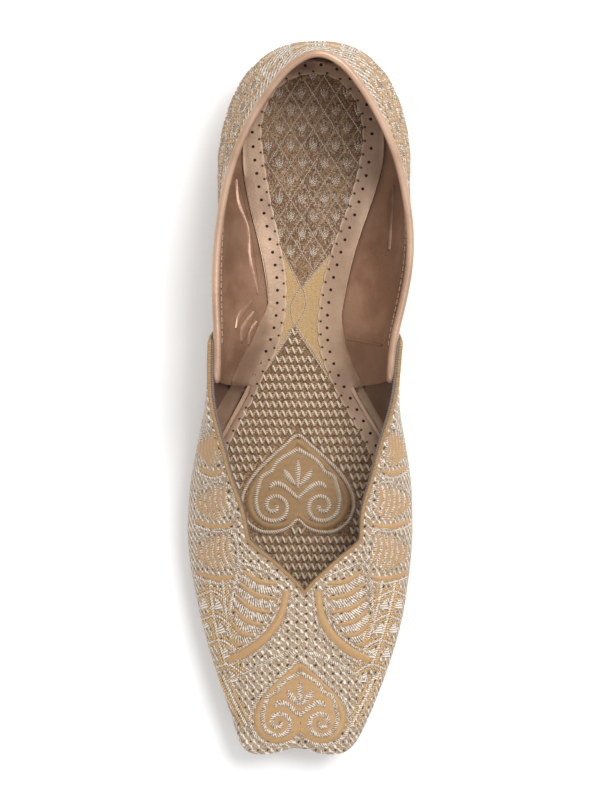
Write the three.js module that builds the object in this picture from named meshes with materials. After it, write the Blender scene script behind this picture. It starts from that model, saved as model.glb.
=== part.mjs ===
// A mojari: a flat slip-on shoe with a brocade vamp and quarter on a moulded rubber sole.
// Right shoe, in millimetres. +Z is up, the toe points to -Y, and +X is the inner (big toe) side.
// The origin is at floor level, under the middle of the shoe's bounding box.
import * as THREE from 'three';
import { mergeVertices } from 'three/addons/utils/BufferGeometryUtils.js';

// ---- Driving dimensions ----
const LENGTH = 250;         // outside length of the upper, heel to toe
const BALL_WIDTH = 79.5;    // widest part of the upper
const HEEL_TOP = 62;        // height of the topline at the back of the heel
const WALL = 1.9;           // brocade with its leather lining
const GAP = 0.3;            // clearance where curved pieces meet
const FOREPART = 6;         // thickness of the sole under the ball
const HEEL_RISE = 7.5;      // how much higher the sole's top is at the heel
const TOE_SPRING = 7;       // how far the toe end of the sole lifts off the floor
const PAD = 3.2;            // thickness of the padded insole
const RIM_WIDTH = 5;        // raised rim round the tread
const TREAD_DEPTH = 1;      // depth of the tread panels inside the rim
const HEEL_FRONT = 67;      // where the heel block stands up from the waist, along Y

// The tables hold a shoe of these sizes; other sizes are scaled from them.
const TABLE_LENGTH = 250;
const TABLE_WIDTH = 79.5;
const TABLE_HEEL_TOP = 62;
const ALONG = LENGTH / TABLE_LENGTH;
const ACROSS = BALL_WIDTH / TABLE_WIDTH;
const UPWARD = HEEL_TOP / TABLE_HEEL_TOP;

const radians = THREE.MathUtils.degToRad;
const clamp = THREE.MathUtils.clamp;
const smoothstep = THREE.MathUtils.smoothstep;

// ---- Outline of the sole ----
// One row per section, from the middle of the toe to the middle of the heel.
// facing is the side's direction: 0 straight out, -90 to the toe, 90 to the heel.
const SOLE_COLUMNS = ['y', 'half', 'middle', 'facing'];
const SOLE_ROWS = [
  [-120.2, 0.0, -1.5, -90],
  [-121.2, 6.0, -1.5, -96],
  [-122.4, 12.0, -1.5, -85],
  [-120.6, 15.8, -1.2, -40],
  [-113.0, 20.0, 0.0, -22],
  [-102.0, 24.6, 0.4, -20],
  [-90.0, 29.2, 0.5, -18],
  [-78.0, 33.0, 0.4, -14],
  [-68.0, 35.4, 0.2, -10],
  [-60.0, 36.9, -0.1, -6],
  [-54.0, 37.5, -0.2, -2],
  [-48.0, 37.7, -0.3, 0],
  [-39.0, 37.5, -0.1, 2],
  [-26.0, 35.4, 0.3, 10],
  [-12.0, 30.2, 0.5, 22],
  [4.0, 20.6, -0.2, 26],
  [20.0, 12.7, 1.0, 10],
  [36.0, 12.3, 2.0, 0],
  [52.0, 16.4, 2.6, -8],
  [68.0, 22.7, 3.4, -8],
  [84.0, 26.5, 4.5, 0],
  [99.0, 25.4, 5.0, 14],
  [111.0, 20.6, 5.4, 38],
  [118.6, 12.0, 5.6, 62],
  [122.0, 0.0, 5.8, 90],
];

// ---- The last: the outer face of the upper ----
// Its rows are level with the sole's. Each is one curve from the feather line, where the upper
// meets the sole, to the topline, the edge of the throat, or the ridge of the closed toe.
//   inset: feather line inside the sole's edge    rise, riseLength: how the curve leaves it
//   topY, topHalf, topMiddle, topZ: its upper end  fall, fallLength: how the curve comes down
//   facing: direction in which the curve bulges
const LAST_COLUMNS = ['inset', 'rise', 'riseLength', 'topY', 'topHalf', 'topMiddle', 'topZ',
  'fall', 'fallLength', 'facing'];
const LAST_ROWS = [
  [1.2, 22, 8.6, -113.0, 0.0, -1.0, 22.6, 16, 9, -90],
  [1.2, 20, 9.4, -112.0, 0.0, -0.9, 23.0, 14, 11, -82],
  [1.2, 16, 12.0, -109.5, 0.0, -0.7, 24.0, 12, 16, -58],
  [1.2, 16, 15.0, -105.5, 0.0, -0.4, 25.4, 9, 20, -36],
  [1.2, 22, 14.6, -99.5, 0.0, 0.0, 27.4, 5, 20, -22],
  [1.2, 26, 14.8, -92.5, 0.0, 0.4, 29.6, 3, 22, -12],
  [1.2, 30, 15.0, -84.5, 0.0, 0.8, 31.8, 1, 24, -6],
  [1.2, 34, 15.0, -76.0, 0.0, 1.2, 34.0, 0, 26, -3],
  [1.2, 38, 14.5, -67.7, 0.0, 1.5, 36.0, 0, 27, 0],
  [1.2, 42, 14.5, -60.8, 6.4, 1.6, 36.6, 6, 23, 0],
  [1.2, 45, 14.5, -54.6, 13.4, 1.6, 36.8, 14, 18, 0],
  [1.2, 46, 14.5, -49.2, 19.9, 1.5, 36.4, 24, 14, 0],
  [1.3, 46, 14.5, -39.0, 21.1, 0.8, 38.0, 28, 14, 0],
  [1.5, 44, 16.0, -26.0, 25.7, 0.4, 39.4, 46, 13, 0],
  [2.8, 34, 16.5, -12.0, 28.3, 0.4, 41.2, 64, 12, 0],
  [4.4, 30, 15.5, 4.0, 30.9, 1.0, 43.2, 80, 13, 0],
  [4.6, 28, 15.0, 20.0, 31.4, 1.8, 44.6, 90, 13, 0],
  [4.4, 28, 15.0, 36.0, 33.7, 3.4, 45.2, 94, 13, 0],
  [3.6, 30, 15.0, 52.0, 34.6, 4.7, 46.4, 94, 14, 0],
  [2.6, 34, 16.0, 68.0, 33.0, 5.1, 48.6, 86, 15, 0],
  [1.8, 37, 16.5, 84.0, 29.2, 5.3, 52.0, 74, 18, 4],
  [1.6, 38, 16.0, 98.0, 23.0, 5.5, 56.0, 67, 21, 14],
  [1.5, 38, 16.6, 109.2, 15.8, 5.8, 59.4, 66, 21, 36],
  [1.5, 40, 14.5, 117.2, 8.6, 6.1, 61.4, 68, 21, 58],
  [1.5, 46, 11.0, 120.8, 0.0, 6.2, 62.0, 74, 20, 90],
];
const THROAT_ROW = 8;       // the bottom of the V, where the throat opens
const HEEL_ROW = SOLE_ROWS.length - 1;

// ---- Reading the tables ----
// A row between two others is found on a Catmull-Rom curve. Past the toe and past the heel the
// rows come back mirrored, so that the curves run smoothly round both ends.
const MIRRORED = ['half', 'topHalf'];

function namedRows(columns, rows) {
  return rows.map((row) => Object.fromEntries(columns.map((name, i) => [name, row[i]])));
}

function mirroredRow(row) {
  const copy = { ...row };
  for (const name of MIRRORED) {
    if (name in copy) copy[name] = -copy[name];
  }
  if ('facing' in copy) {
    const end = copy.facing < 0 ? -180 : 180;
    copy.facing = end - copy.facing;
  }
  return copy;
}

function rowAt(rows, index) {
  const last = rows.length - 1;
  if (index < 0) return mirroredRow(rows[-index]);
  if (index > last) return mirroredRow(rows[2 * last - index]);
  return rows[index];
}

function catmullRom(a, b, c, d, f) {
  const slopeB = (c - a) / 2;
  const slopeC = (d - b) / 2;
  const f2 = f * f;
  const f3 = f2 * f;
  return (2 * f3 - 3 * f2 + 1) * b + (f3 - 2 * f2 + f) * slopeB
    + (3 * f2 - 2 * f3) * c + (f3 - f2) * slopeC;
}

function readTable(rows, station) {
  const index = Math.min(Math.floor(station), rows.length - 2);
  const f = station - index;
  const near = [-1, 0, 1, 2].map((step) => rowAt(rows, index + step));
  const result = {};
  for (const name of Object.keys(rows[0])) {
    result[name] = catmullRom(near[0][name], near[1][name], near[2][name], near[3][name], f);
  }
  return result;
}

const soleTable = namedRows(SOLE_COLUMNS, SOLE_ROWS);
const lastTable = namedRows(LAST_COLUMNS, LAST_ROWS);

// ---- Heights along the sole ----
function toeLift(y) {
  const start = -70 * ALONG;
  const end = -122 * ALONG;
  const f = clamp((y - start) / (end - start), 0, 1.1);
  return TOE_SPRING * f * f;
}

function archLift(y) {
  return HEEL_RISE * smoothstep(y, -8 * ALONG, 62 * ALONG);
}

function soleTopZ(y) {
  return FOREPART + archLift(y) + toeLift(y) * 0.92;
}

// ---- Points of the sole and the last ----
// side is -1 on the outer (little toe) side and 1 on the inner side.
function direction(side, facing) {
  const angle = radians(facing);
  return new THREE.Vector3(side * Math.cos(angle), Math.sin(angle), 0);
}

function soleEdge(side, station, inset = 0) {
  const row = readTable(soleTable, station);
  const point = new THREE.Vector3(
    (row.middle + side * row.half) * ACROSS, row.y * ALONG, 0);
  return point.addScaledVector(direction(side, row.facing), -inset);
}

function lastCurve(side, station) {
  const row = readTable(lastTable, station);
  const out = direction(side, row.facing);
  const foot = soleEdge(side, station, row.inset);
  foot.z = soleTopZ(foot.y) + GAP;
  const topHalf = station <= THROAT_ROW ? 0 : Math.max(0, row.topHalf);
  const top = new THREE.Vector3(
    (row.topMiddle + side * topHalf) * ACROSS, row.topY * ALONG, row.topZ * UPWARD);
  const low = foot.clone()
    .addScaledVector(out, row.riseLength * Math.cos(radians(row.rise)))
    .add(new THREE.Vector3(0, 0, row.riseLength * Math.sin(radians(row.rise))));
  const high = top.clone()
    .addScaledVector(out, row.fallLength * Math.cos(radians(row.fall)))
    .add(new THREE.Vector3(0, 0, -row.fallLength * Math.sin(radians(row.fall))));
  return new THREE.CubicBezierCurve3(foot, low, high, top);
}

function lastPoint(side, station, t) {
  return lastCurve(side, station).getPoint(t);
}

// Outward normal of the last. On the ridge of the toe both sides share one normal.
function lastNormal(side, station, t) {
  const step = 0.02;
  const below = Math.max(0, t - step);
  const above = Math.min(1, t + step);
  const behind = Math.max(-HEEL_ROW, station - step);
  const up = lastPoint(side, station, above).sub(lastPoint(side, station, below));
  const before = pointPastEnd(side, behind, t);
  const after = pointPastEnd(side, station + step, t);
  const along = after.sub(before);
  return along.cross(up).multiplyScalar(side).normalize();
}

function pointPastEnd(side, station, t) {
  if (station < 0) return lastPoint(-side, -station, t);
  if (station > HEEL_ROW) return lastPoint(-side, 2 * HEEL_ROW - station, t);
  return lastPoint(side, station, t);
}

function surfacePoint(side, station, t, offset) {
  const point = lastPoint(side, station, t);
  const normal = lastNormal(side, station, t);
  if (t === 1 && station <= THROAT_ROW) {
    normal.add(lastNormal(-side, station, t)).normalize();
  }
  point.addScaledVector(normal, offset);
  if (t === 0) {
    // the lower edge of the wall stands flat on the sole
    const row = readTable(lastTable, station);
    const out = direction(side, row.facing);
    point.copy(lastPoint(side, station, 0));
    point.addScaledVector(out, offset / Math.sin(radians(row.rise)));
    point.z = soleTopZ(point.y) + GAP;
  }
  return point;
}

// ---- Stations ----
const STEPS_PER_ROW = 2;

function stationsBetween(from, to) {
  const count = Math.max(1, Math.round(Math.abs(to - from) * STEPS_PER_ROW));
  return Array.from({ length: count + 1 }, (_, i) => from + (to - from) * i / count);
}

// station on the straight run of the sole where its edge is at y
function stationAt(y) {
  let low = 5;
  let high = HEEL_ROW;
  for (let i = 0; i < 40; i += 1) {
    const middle = (low + high) / 2;
    if (readTable(soleTable, middle).y * ALONG < y) low = middle;
    else high = middle;
  }
  return low;
}

// ---- Closed meshes from grids of points ----
class Skin {
  constructor() {
    this.points = [];
  }

  triangle(a, b, c) {
    this.points.push(a.x, a.y, a.z, b.x, b.y, b.z, c.x, c.y, c.z);
  }

  quad(a, b, c, d) {
    this.triangle(a, b, c);
    this.triangle(a, c, d);
  }

  // merges the corners and drops the triangles that have no area
  geometry() {
    const loose = new THREE.BufferGeometry();
    loose.setAttribute('position', new THREE.Float32BufferAttribute(this.points, 3));
    const merged = mergeVertices(loose, 1e-3);
    const index = merged.getIndex().array;
    const kept = [];
    for (let i = 0; i < index.length; i += 3) {
      const [a, b, c] = [index[i], index[i + 1], index[i + 2]];
      if (a !== b && b !== c && c !== a) kept.push(a, b, c);
    }
    merged.setIndex(kept);
    return merged;
  }
}

// A wall between an outer and an inner grid of columns, each running up from the feather line.
// joined(i) says that columns i and i + 1 meet another side at the top, so it has no rim there.
function wallGeometry(outer, inner, joined) {
  const skin = new Skin();
  const lastColumn = outer.length - 1;
  const top = outer[0].length - 1;
  for (let i = 0; i < lastColumn; i += 1) {
    for (let k = 0; k < top; k += 1) {
      skin.quad(outer[i][k], outer[i + 1][k], outer[i + 1][k + 1], outer[i][k + 1]);
      skin.quad(inner[i][k], inner[i][k + 1], inner[i + 1][k + 1], inner[i + 1][k]);
    }
    skin.quad(outer[i][0], inner[i][0], inner[i + 1][0], outer[i + 1][0]);
    if (!joined(i)) {
      skin.quad(outer[i][top], outer[i + 1][top], inner[i + 1][top], inner[i][top]);
    }
  }
  for (let k = 0; k < top; k += 1) {
    skin.quad(outer[0][k], outer[0][k + 1], inner[0][k + 1], inner[0][k]);
    skin.quad(outer[lastColumn][k], inner[lastColumn][k],
      inner[lastColumn][k + 1], outer[lastColumn][k + 1]);
  }
  return skin.geometry();
}

// ---- Vamp ----
const WING_END = 16;        // last's row at the top corner of the wing
const WING_SLANT = 1.1;     // rows by which the wing reaches further back at the sole
const LIFT_FROM = 13.2;     // rows over which the wing steps out over the quarter
const LIFT_TO = 14.8;
const WING_GAP = 0.5;       // clearance between the wing and the quarter
const UPPER_STEPS = 9;

function wingLift(station) {
  return (WALL + WING_GAP) * smoothstep(station, LIFT_FROM, LIFT_TO);
}

function slanted(station, t) {
  return station + WING_SLANT * (1 - t) * smoothstep(station, LIFT_FROM - 1, WING_END);
}

function vampGeometry() {
  const outerSide = stationsBetween(WING_END, 0).map((station) => ({ side: -1, station }));
  const innerSide = stationsBetween(0, WING_END).slice(1).map((station) => ({ side: 1, station }));
  const columns = [...outerSide, ...innerSide];
  const grid = (depth) => columns.map(({ side, station }) => (
    Array.from({ length: UPPER_STEPS + 1 }, (_, k) => {
      const t = k / UPPER_STEPS;
      const place = slanted(station, t);
      return surfacePoint(side, place, t, wingLift(place) - depth);
    })));
  const joined = (i) => columns[i].station <= THROAT_ROW && columns[i + 1].station <= THROAT_ROW;
  return wallGeometry(grid(0), grid(WALL), joined);
}

// ---- Quarter ----
const QUARTER_FRONT = 15.2; // last's row where the quarter ends under the wings

function quarterGeometry() {
  const innerSide = stationsBetween(QUARTER_FRONT, HEEL_ROW).map((station) => (
    { side: 1, station }));
  const outerSide = stationsBetween(HEEL_ROW, QUARTER_FRONT).slice(1).map((station) => (
    { side: -1, station }));
  const columns = [...innerSide, ...outerSide];
  const grid = (depth) => columns.map(({ side, station }) => (
    Array.from({ length: UPPER_STEPS + 1 }, (_, k) => (
      surfacePoint(side, station, k / UPPER_STEPS, -depth)))));
  return wallGeometry(grid(0), grid(WALL), () => false);
}

// ---- Pieces made of rings round a middle line ----
// makeColumn(side, station) returns the points of one cut from the middle of one face, round the
// edge, to the middle of the other face.
function ringGeometry(stations, makeColumn) {
  const back = [...stations].reverse().map((station) => makeColumn(-1, station));
  const forth = stations.slice(1).map((station) => makeColumn(1, station));
  const columns = [...back, ...forth];
  const skin = new Skin();
  for (let i = 0; i < columns.length - 1; i += 1) {
    for (let k = 0; k < columns[i].length - 1; k += 1) {
      skin.quad(columns[i][k], columns[i + 1][k], columns[i + 1][k + 1], columns[i][k + 1]);
    }
  }
  return skin.geometry();
}

const TOE_MIDDLE = -108;    // where the middle line starts behind the toe, along Y
const HEEL_MIDDLE = 106;    // where it stops before the back of the heel

function middlePoint(station) {
  const row = readTable(soleTable, station);
  const y = clamp(row.y, TOE_MIDDLE, HEEL_MIDDLE);
  const level = stationAt(y * ALONG);
  return new THREE.Vector3(readTable(soleTable, level).middle * ACROSS, y * ALONG, 0);
}

// ---- Insole ----
const PAD_CROWN = 0.8;      // how much the padding swells in the middle
const PAD_CUP = 3;          // how much higher its edge climbs the wall at the waist
const CUP_MIDDLE = 26;      // the middle of the waist, along Y
const CUP_FLAT = 8;         // the cup is at its full height this far to each side of it
const CUP_REACH = 55;       // and has died away this far from it
const PAD_LIP = 0.6;        // least rise of the edge over the board
const PAD_RINGS = [0.12, 0.35, 0.65];
const PAD_DEPTH = WALL + 0.7; // its edge lies this far inside the last's outer face
const CLIMB_MOST = 0.6;     // share of the wall's curve that the pad's edge may climb
const CLIMB_TRIES = 30;     // halvings that find a height on the wall

function padCup(y) {
  const away = Math.abs(y - CUP_MIDDLE * ALONG);
  return PAD_CUP * (1 - smoothstep(away, CUP_FLAT, CUP_REACH)) + PAD_LIP;
}

function lastHeightAt(side, station, height) {
  let low = 0;
  let high = CLIMB_MOST;
  const start = surfacePoint(side, station, 0, -PAD_DEPTH).z;
  for (let i = 0; i < CLIMB_TRIES; i += 1) {
    const middle = (low + high) / 2;
    if (surfacePoint(side, station, middle, -PAD_DEPTH).z - start < height) low = middle;
    else high = middle;
  }
  return surfacePoint(side, station, low, -PAD_DEPTH);
}

function insoleColumn(side, station) {
  const low = surfacePoint(side, station, 0, -PAD_DEPTH);
  const cup = padCup(low.y);
  const high = lastHeightAt(side, station, PAD + cup);
  const middle = middlePoint(station);
  const floor = middle.clone().setZ(soleTopZ(middle.y) + GAP);
  const crown = middle.clone().setZ(soleTopZ(middle.y) + GAP + PAD + PAD_CROWN);
  const rings = PAD_RINGS.map((f) => {
    const point = high.clone().lerp(crown, f);
    point.z = soleTopZ(point.y) + GAP + PAD + PAD_CROWN * (1 - (1 - f) ** 2)
      + cup * (1 - f) ** 3;
    return point;
  });
  return [floor, low, high, ...rings, crown];
}

function insoleGeometry() {
  return ringGeometry(stationsBetween(0, HEEL_ROW), insoleColumn);
}

// ---- Outsole ----
const EDGE_ROUND = 0.6;     // rounding of the sole's upper edge
const EDGE_DRAFT = 0.9;     // how far the side leans in towards the floor
const HEEL_RIM = 6;         // width of the heel block's rim
const STEP_RUN = 0.35;      // half the run of a step in the bottom face
const HEEL_BAR = 6;         // bar across the front of the heel block

function soleBottomZ(y) {
  if (y >= HEEL_FRONT * ALONG) return 0;
  return archLift(y) + toeLift(y);
}

function treadDepth(y) {
  const start = HEEL_FRONT * ALONG;
  if (y >= start && y < start + HEEL_BAR) return 0;
  return TREAD_DEPTH;
}

function soleColumn(side, station) {
  const rim = soleEdge(side, station).y >= HEEL_FRONT * ALONG ? HEEL_RIM : RIM_WIDTH;
  const at = (inset, height) => {
    const point = soleEdge(side, station, inset);
    point.z = height(point.y);
    return point;
  };
  const middle = middlePoint(station);
  const level = soleEdge(side, station).y;
  const depth = treadDepth(level);
  return [
    middle.clone().setZ(soleBottomZ(middle.y) + depth),
    at(rim + depth * 0.5, () => soleBottomZ(level) + depth),
    at(rim, () => soleBottomZ(level)),
    at(EDGE_DRAFT + EDGE_ROUND, () => soleBottomZ(level)),
    at(EDGE_DRAFT, () => soleBottomZ(level) + EDGE_ROUND),
    at(0, () => soleTopZ(level) - EDGE_ROUND),
    at(EDGE_ROUND, () => soleTopZ(level)),
    middle.clone().setZ(soleTopZ(middle.y)),
  ];
}

function soleStations() {
  const steps = [HEEL_FRONT * ALONG, HEEL_FRONT * ALONG + HEEL_BAR];
  const extra = steps.flatMap((y) => [stationAt(y - STEP_RUN), stationAt(y + STEP_RUN)]);
  const regular = stationsBetween(0, HEEL_ROW).filter((station) => (
    extra.every((other) => Math.abs(other - station) > 0.12)));
  return [...regular, ...extra].sort((a, b) => a - b);
}

function outsoleGeometry() {
  return ringGeometry(soleStations(), soleColumn);
}

// ---- Assembly ----
function piece(name, geometry, color, roughness, metalness) {
  const material = new THREE.MeshStandardMaterial({ color, roughness, metalness });
  const mesh = new THREE.Mesh(geometry, material);
  mesh.name = name;
  return mesh;
}

const shoe = new THREE.Group();
shoe.add(piece('outsole', outsoleGeometry(), 0x7d6450, 0.7, 0));
shoe.add(piece('insole', insoleGeometry(), 0xb28c76, 0.5, 0.2));
shoe.add(piece('vamp', vampGeometry(), 0xc8ab84, 0.5, 0.3));
shoe.add(piece('quarter', quarterGeometry(), 0xc8b49a, 0.5, 0.3));

// the bounding box is centred over the origin, on the floor
const box = new THREE.Box3().setFromObject(shoe);
const centre = box.getCenter(new THREE.Vector3());
shoe.position.set(-centre.x, -centre.y, -box.min.z);

export default shoe;
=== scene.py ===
# %% [markdown]
# # A mojari in brocade
# This lesson dresses a right mojari, a flat South Asian slip-on shoe. Its solid parts come in as a
# fixed frame: a moulded sole, a padded insole, a vamp over the toes with two wings, and a quarter
# round the heel. We leave that frame where it is and lay the finished pieces over it: woven
# brocade, gold and silver cords, rose-gold leather, and the fine tread under the foot.

# %% Load the frame
import math

import bmesh
import bpy
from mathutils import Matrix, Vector
from mathutils.bvhtree import BVHTree


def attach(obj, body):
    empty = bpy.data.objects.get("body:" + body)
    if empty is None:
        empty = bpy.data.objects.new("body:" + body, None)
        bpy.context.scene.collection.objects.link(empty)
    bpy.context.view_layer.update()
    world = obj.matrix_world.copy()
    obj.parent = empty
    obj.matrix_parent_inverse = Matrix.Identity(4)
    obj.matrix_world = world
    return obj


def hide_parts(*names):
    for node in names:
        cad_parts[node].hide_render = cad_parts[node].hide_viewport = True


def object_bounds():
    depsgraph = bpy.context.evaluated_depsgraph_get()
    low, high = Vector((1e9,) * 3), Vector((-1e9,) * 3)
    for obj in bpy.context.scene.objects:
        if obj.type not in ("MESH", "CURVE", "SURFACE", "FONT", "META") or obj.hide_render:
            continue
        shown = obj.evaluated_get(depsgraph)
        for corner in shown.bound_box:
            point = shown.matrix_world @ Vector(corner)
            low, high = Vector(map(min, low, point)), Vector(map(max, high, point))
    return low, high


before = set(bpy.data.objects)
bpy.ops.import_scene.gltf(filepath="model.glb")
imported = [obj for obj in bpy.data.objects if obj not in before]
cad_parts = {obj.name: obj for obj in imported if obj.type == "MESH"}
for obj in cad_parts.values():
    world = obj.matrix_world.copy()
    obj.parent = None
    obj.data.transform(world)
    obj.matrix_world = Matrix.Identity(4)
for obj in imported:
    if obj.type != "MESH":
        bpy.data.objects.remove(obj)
cad_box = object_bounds()
MM = 0.001
low, high = (Vector(corner) for corner in cad_box)
centre = (low + high) / 2
print("shoe", [round(v / MM) for v in high - low], "mm")

# %% [markdown]
# ## View, light and floor
# The shoe is looked at from straight above with its toe pointing down the page. A long lens keeps
# the outline true. A large soft light overhead and a weaker one from the heel end give the threads
# a gleam without hard shadows, as in a catalogue. The floor is plain and pale.

# %% Camera
VIEW_HEIGHT = 0.282         # height of floor that the picture shows
CAMERA_HEIGHT = 1.9
SENSOR = 36

bpy.ops.object.camera_add(location=(centre.x, centre.y, CAMERA_HEIGHT), rotation=(0, 0, 0))
camera = bpy.context.object
camera.data.sensor_fit = "VERTICAL"
camera.data.sensor_height = SENSOR
camera.data.lens = SENSOR * (CAMERA_HEIGHT - 0.02) / VIEW_HEIGHT
bpy.context.scene.camera = camera

# %% Lights
LIGHTS = [                  # name, place, lean about X and about Y (degrees), size, watts
    ("light_top", (0.45, 0.35, 1.1), (-18, 22), 0.6, 11),
    ("light_heel", (0.2, 0.9, 0.8), (-48, 10), 0.6, 4),
    ("light_toe", (-0.3, -1.0, 0.6), (58, -12), 0.8, 3),
]
for name, spot, (about_x, about_y), size, watts in LIGHTS:
    bpy.ops.object.light_add(type="AREA", location=spot,
                             rotation=(math.radians(about_x), math.radians(about_y), 0))
    lamp = bpy.context.object
    lamp.name = name
    lamp.data.shape = "SQUARE"
    lamp.data.size = size
    lamp.data.energy = watts

world = bpy.data.worlds.new("studio")
bpy.context.scene.world = world
world.use_nodes = True
sky = world.node_tree.nodes["Background"].inputs
sky["Color"].default_value = (1, 1, 1, 1)
sky["Strength"].default_value = 0.75

# %% Colour
# Plain sRGB keeps the pale floor and the yarns as bright as they are lit.
bpy.context.scene.view_settings.view_transform = "Standard"

# %% Floor
bpy.ops.mesh.primitive_plane_add(size=4, location=(0, 0, 0))
floor = bpy.context.object
floor.name = "floor"

# %% [markdown]
# ## Small tools
# A few helpers are used all through. One picks out a single object for an operator, because an
# operator acts on all that is selected. Others write a shader as plain arithmetic: each call adds
# one Math node, so a weave can be read as a formula.

# %% Selecting and editing
def pick(obj):
    bpy.ops.object.select_all(action="DESELECT")
    obj.select_set(True)
    bpy.context.view_layer.objects.active = obj


def edit_all(obj, *steps):
    """Runs mesh operators, each with its settings, on all of an object's mesh."""
    pick(obj)
    bpy.ops.object.mode_set(mode="EDIT")
    bpy.ops.mesh.select_all(action="SELECT")
    for operator, settings in steps:
        operator(**settings)
    bpy.ops.object.mode_set(mode="OBJECT")


def copy_of(obj):
    pick(obj)
    bpy.ops.object.duplicate()
    return bpy.context.object


def new_object(name, mesh):
    obj = bpy.data.objects.new(name, mesh)
    bpy.context.collection.objects.link(obj)
    return obj


def add_modifier(obj, kind, **settings):
    pick(obj)
    bpy.ops.object.modifier_add(type=kind)
    modifier = obj.modifiers[-1]
    for name, value in settings.items():
        setattr(modifier, name, value)
    bpy.ops.object.modifier_apply(modifier=modifier.name)


def finish_piece(obj, name, material, smooth=40):
    obj.name = name
    obj.data.materials.clear()
    obj.data.materials.append(material)
    pick(obj)
    bpy.ops.object.shade_smooth_by_angle(angle=math.radians(smooth))
    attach(obj, "root")
    print(name, len(obj.data.polygons), "faces")
    return obj


def smooth_between(value, start, end):
    t = min(1, max(0, (value - start) / (end - start)))
    return t * t * (3 - 2 * t)


# %% Shader arithmetic
class Nodes:
    """Builds a node tree from calls; a number, a vector or a socket can go in anywhere."""

    def __init__(self, tree):
        self.tree = tree

    def add(self, kind, inputs=(), **settings):
        node = self.tree.nodes.new(kind)
        for name, value in settings.items():
            setattr(node, name, value)
        for key, value in (inputs.items() if isinstance(inputs, dict) else enumerate(inputs)):
            self.plug(node.inputs[key], value)
        return node

    def plug(self, socket, value):
        if isinstance(value, bpy.types.NodeSocket):
            self.tree.links.new(value, socket)
        else:
            socket.default_value = value

    def math(self, operation, *values):
        return self.add("ShaderNodeMath", values, operation=operation).outputs[0]

    def step(self, value, start, end):
        return self.add("ShaderNodeMapRange", [value, start, end, 0.0, 1.0],
                        interpolation_type="SMOOTHSTEP").outputs[0]

    def mix(self, factor, first, second):
        """Blends two colours, which are the sixth and seventh sockets of the Mix node."""
        return self.add("ShaderNodeMix", {0: factor, 6: first, 7: second},
                        data_type="RGBA").outputs[2]

    def noise(self, vector, scale, detail=3.0, rough=0.5):
        return self.add("ShaderNodeTexNoise", {"Vector": vector, "Scale": scale,
                                               "Detail": detail, "Roughness": rough}).outputs[0]

    def bump(self, height, distance, strength=1.0):
        return self.add("ShaderNodeBump", {"Strength": strength, "Distance": distance,
                                           "Height": height}).outputs[0]

    def invert(self, value):
        return self.math("SUBTRACT", 1.0, value)

    def hypotenuse(self, a, b):
        return self.math("SQRT", self.math("ADD", self.math("MULTIPLY", a, a),
                                           self.math("MULTIPLY", b, b)))

    def place(self):
        """The point of the surface, in metres."""
        return self.add("ShaderNodeTexCoord").outputs["Object"]

    def cloth(self):
        """The cloth map, and its two numbers."""
        uv = self.add("ShaderNodeUVMap", uv_map="cloth").outputs[0]
        return (uv, *self.add("ShaderNodeSeparateXYZ", [uv]).outputs[:2])


def rgb(red, green, blue):
    """A colour named by its eight-bit screen values, made linear for the shader."""
    def linear(value):
        value = value / 255
        return value / 12.92 if value <= 0.04045 else ((value + 0.055) / 1.055) ** 2.4
    return (linear(red), linear(green), linear(blue), 1)


def new_material(name, roughness, metallic=0.0):
    material = bpy.data.materials.new(name)
    material.use_nodes = True
    nodes = Nodes(material.node_tree)
    shader = material.node_tree.nodes["Principled BSDF"]
    shader.inputs["Roughness"].default_value = roughness
    shader.inputs["Metallic"].default_value = metallic
    return material, nodes, shader


def new_group(name, inputs, outputs):
    """An empty node group of number sockets, whose inputs come with their defaults."""
    tree = bpy.data.node_groups.new(name, "ShaderNodeTree")
    for label, value in inputs.items():
        socket = tree.interface.new_socket(label, in_out="INPUT", socket_type="NodeSocketFloat")
        socket.default_value = value
    for label in outputs:
        tree.interface.new_socket(label, in_out="OUTPUT", socket_type="NodeSocketFloat")
    nodes = Nodes(tree)
    return (tree, nodes, nodes.add("NodeGroupInput").outputs,
            nodes.add("NodeGroupOutput").inputs)


# %% [markdown]
# ## The surfaces of the last
# The vamp and the quarter come in as coarse hollow walls. Each is copied, its loose triangles are
# merged, and only its outer face is kept: the widest patch of faces that meet at soft angles.
# Subdividing that sheet gives the smooth surface of the last. The brocade and its lining are then
# two layers grown inwards from the one sheet, as in a real upper.

# %% Take the outer face of a wall
SOFT_ANGLE = math.radians(32)
QUAD_ANGLE = math.radians(60)


def copy_of_node(name):
    copy = copy_of(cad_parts[name])
    edit_all(copy, (bpy.ops.mesh.remove_doubles, {"threshold": 0.001 * MM}),
             (bpy.ops.mesh.tris_convert_to_quads, {"face_threshold": QUAD_ANGLE,
                                                   "shape_threshold": QUAD_ANGLE}),
             (bpy.ops.mesh.customdata_custom_splitnormals_clear, {}))
    copy.name = name + "_copy"
    return copy


def soft_patches(mesh):
    """Groups of faces whose shared edges bend less than the soft angle, the largest first."""
    seen = set()
    patches = []
    for face in mesh.faces:
        if face in seen:
            continue
        patch, waiting = [], [face]
        seen.add(face)
        while waiting:
            current = waiting.pop()
            patch.append(current)
            for edge in current.edges:
                if len(edge.link_faces) == 2 and edge.calc_face_angle() < SOFT_ANGLE:
                    for other in edge.link_faces:
                        if other not in seen:
                            seen.add(other)
                            waiting.append(other)
        patches.append(patch)
    return sorted(patches, key=lambda patch: -sum(face.calc_area() for face in patch))


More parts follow.
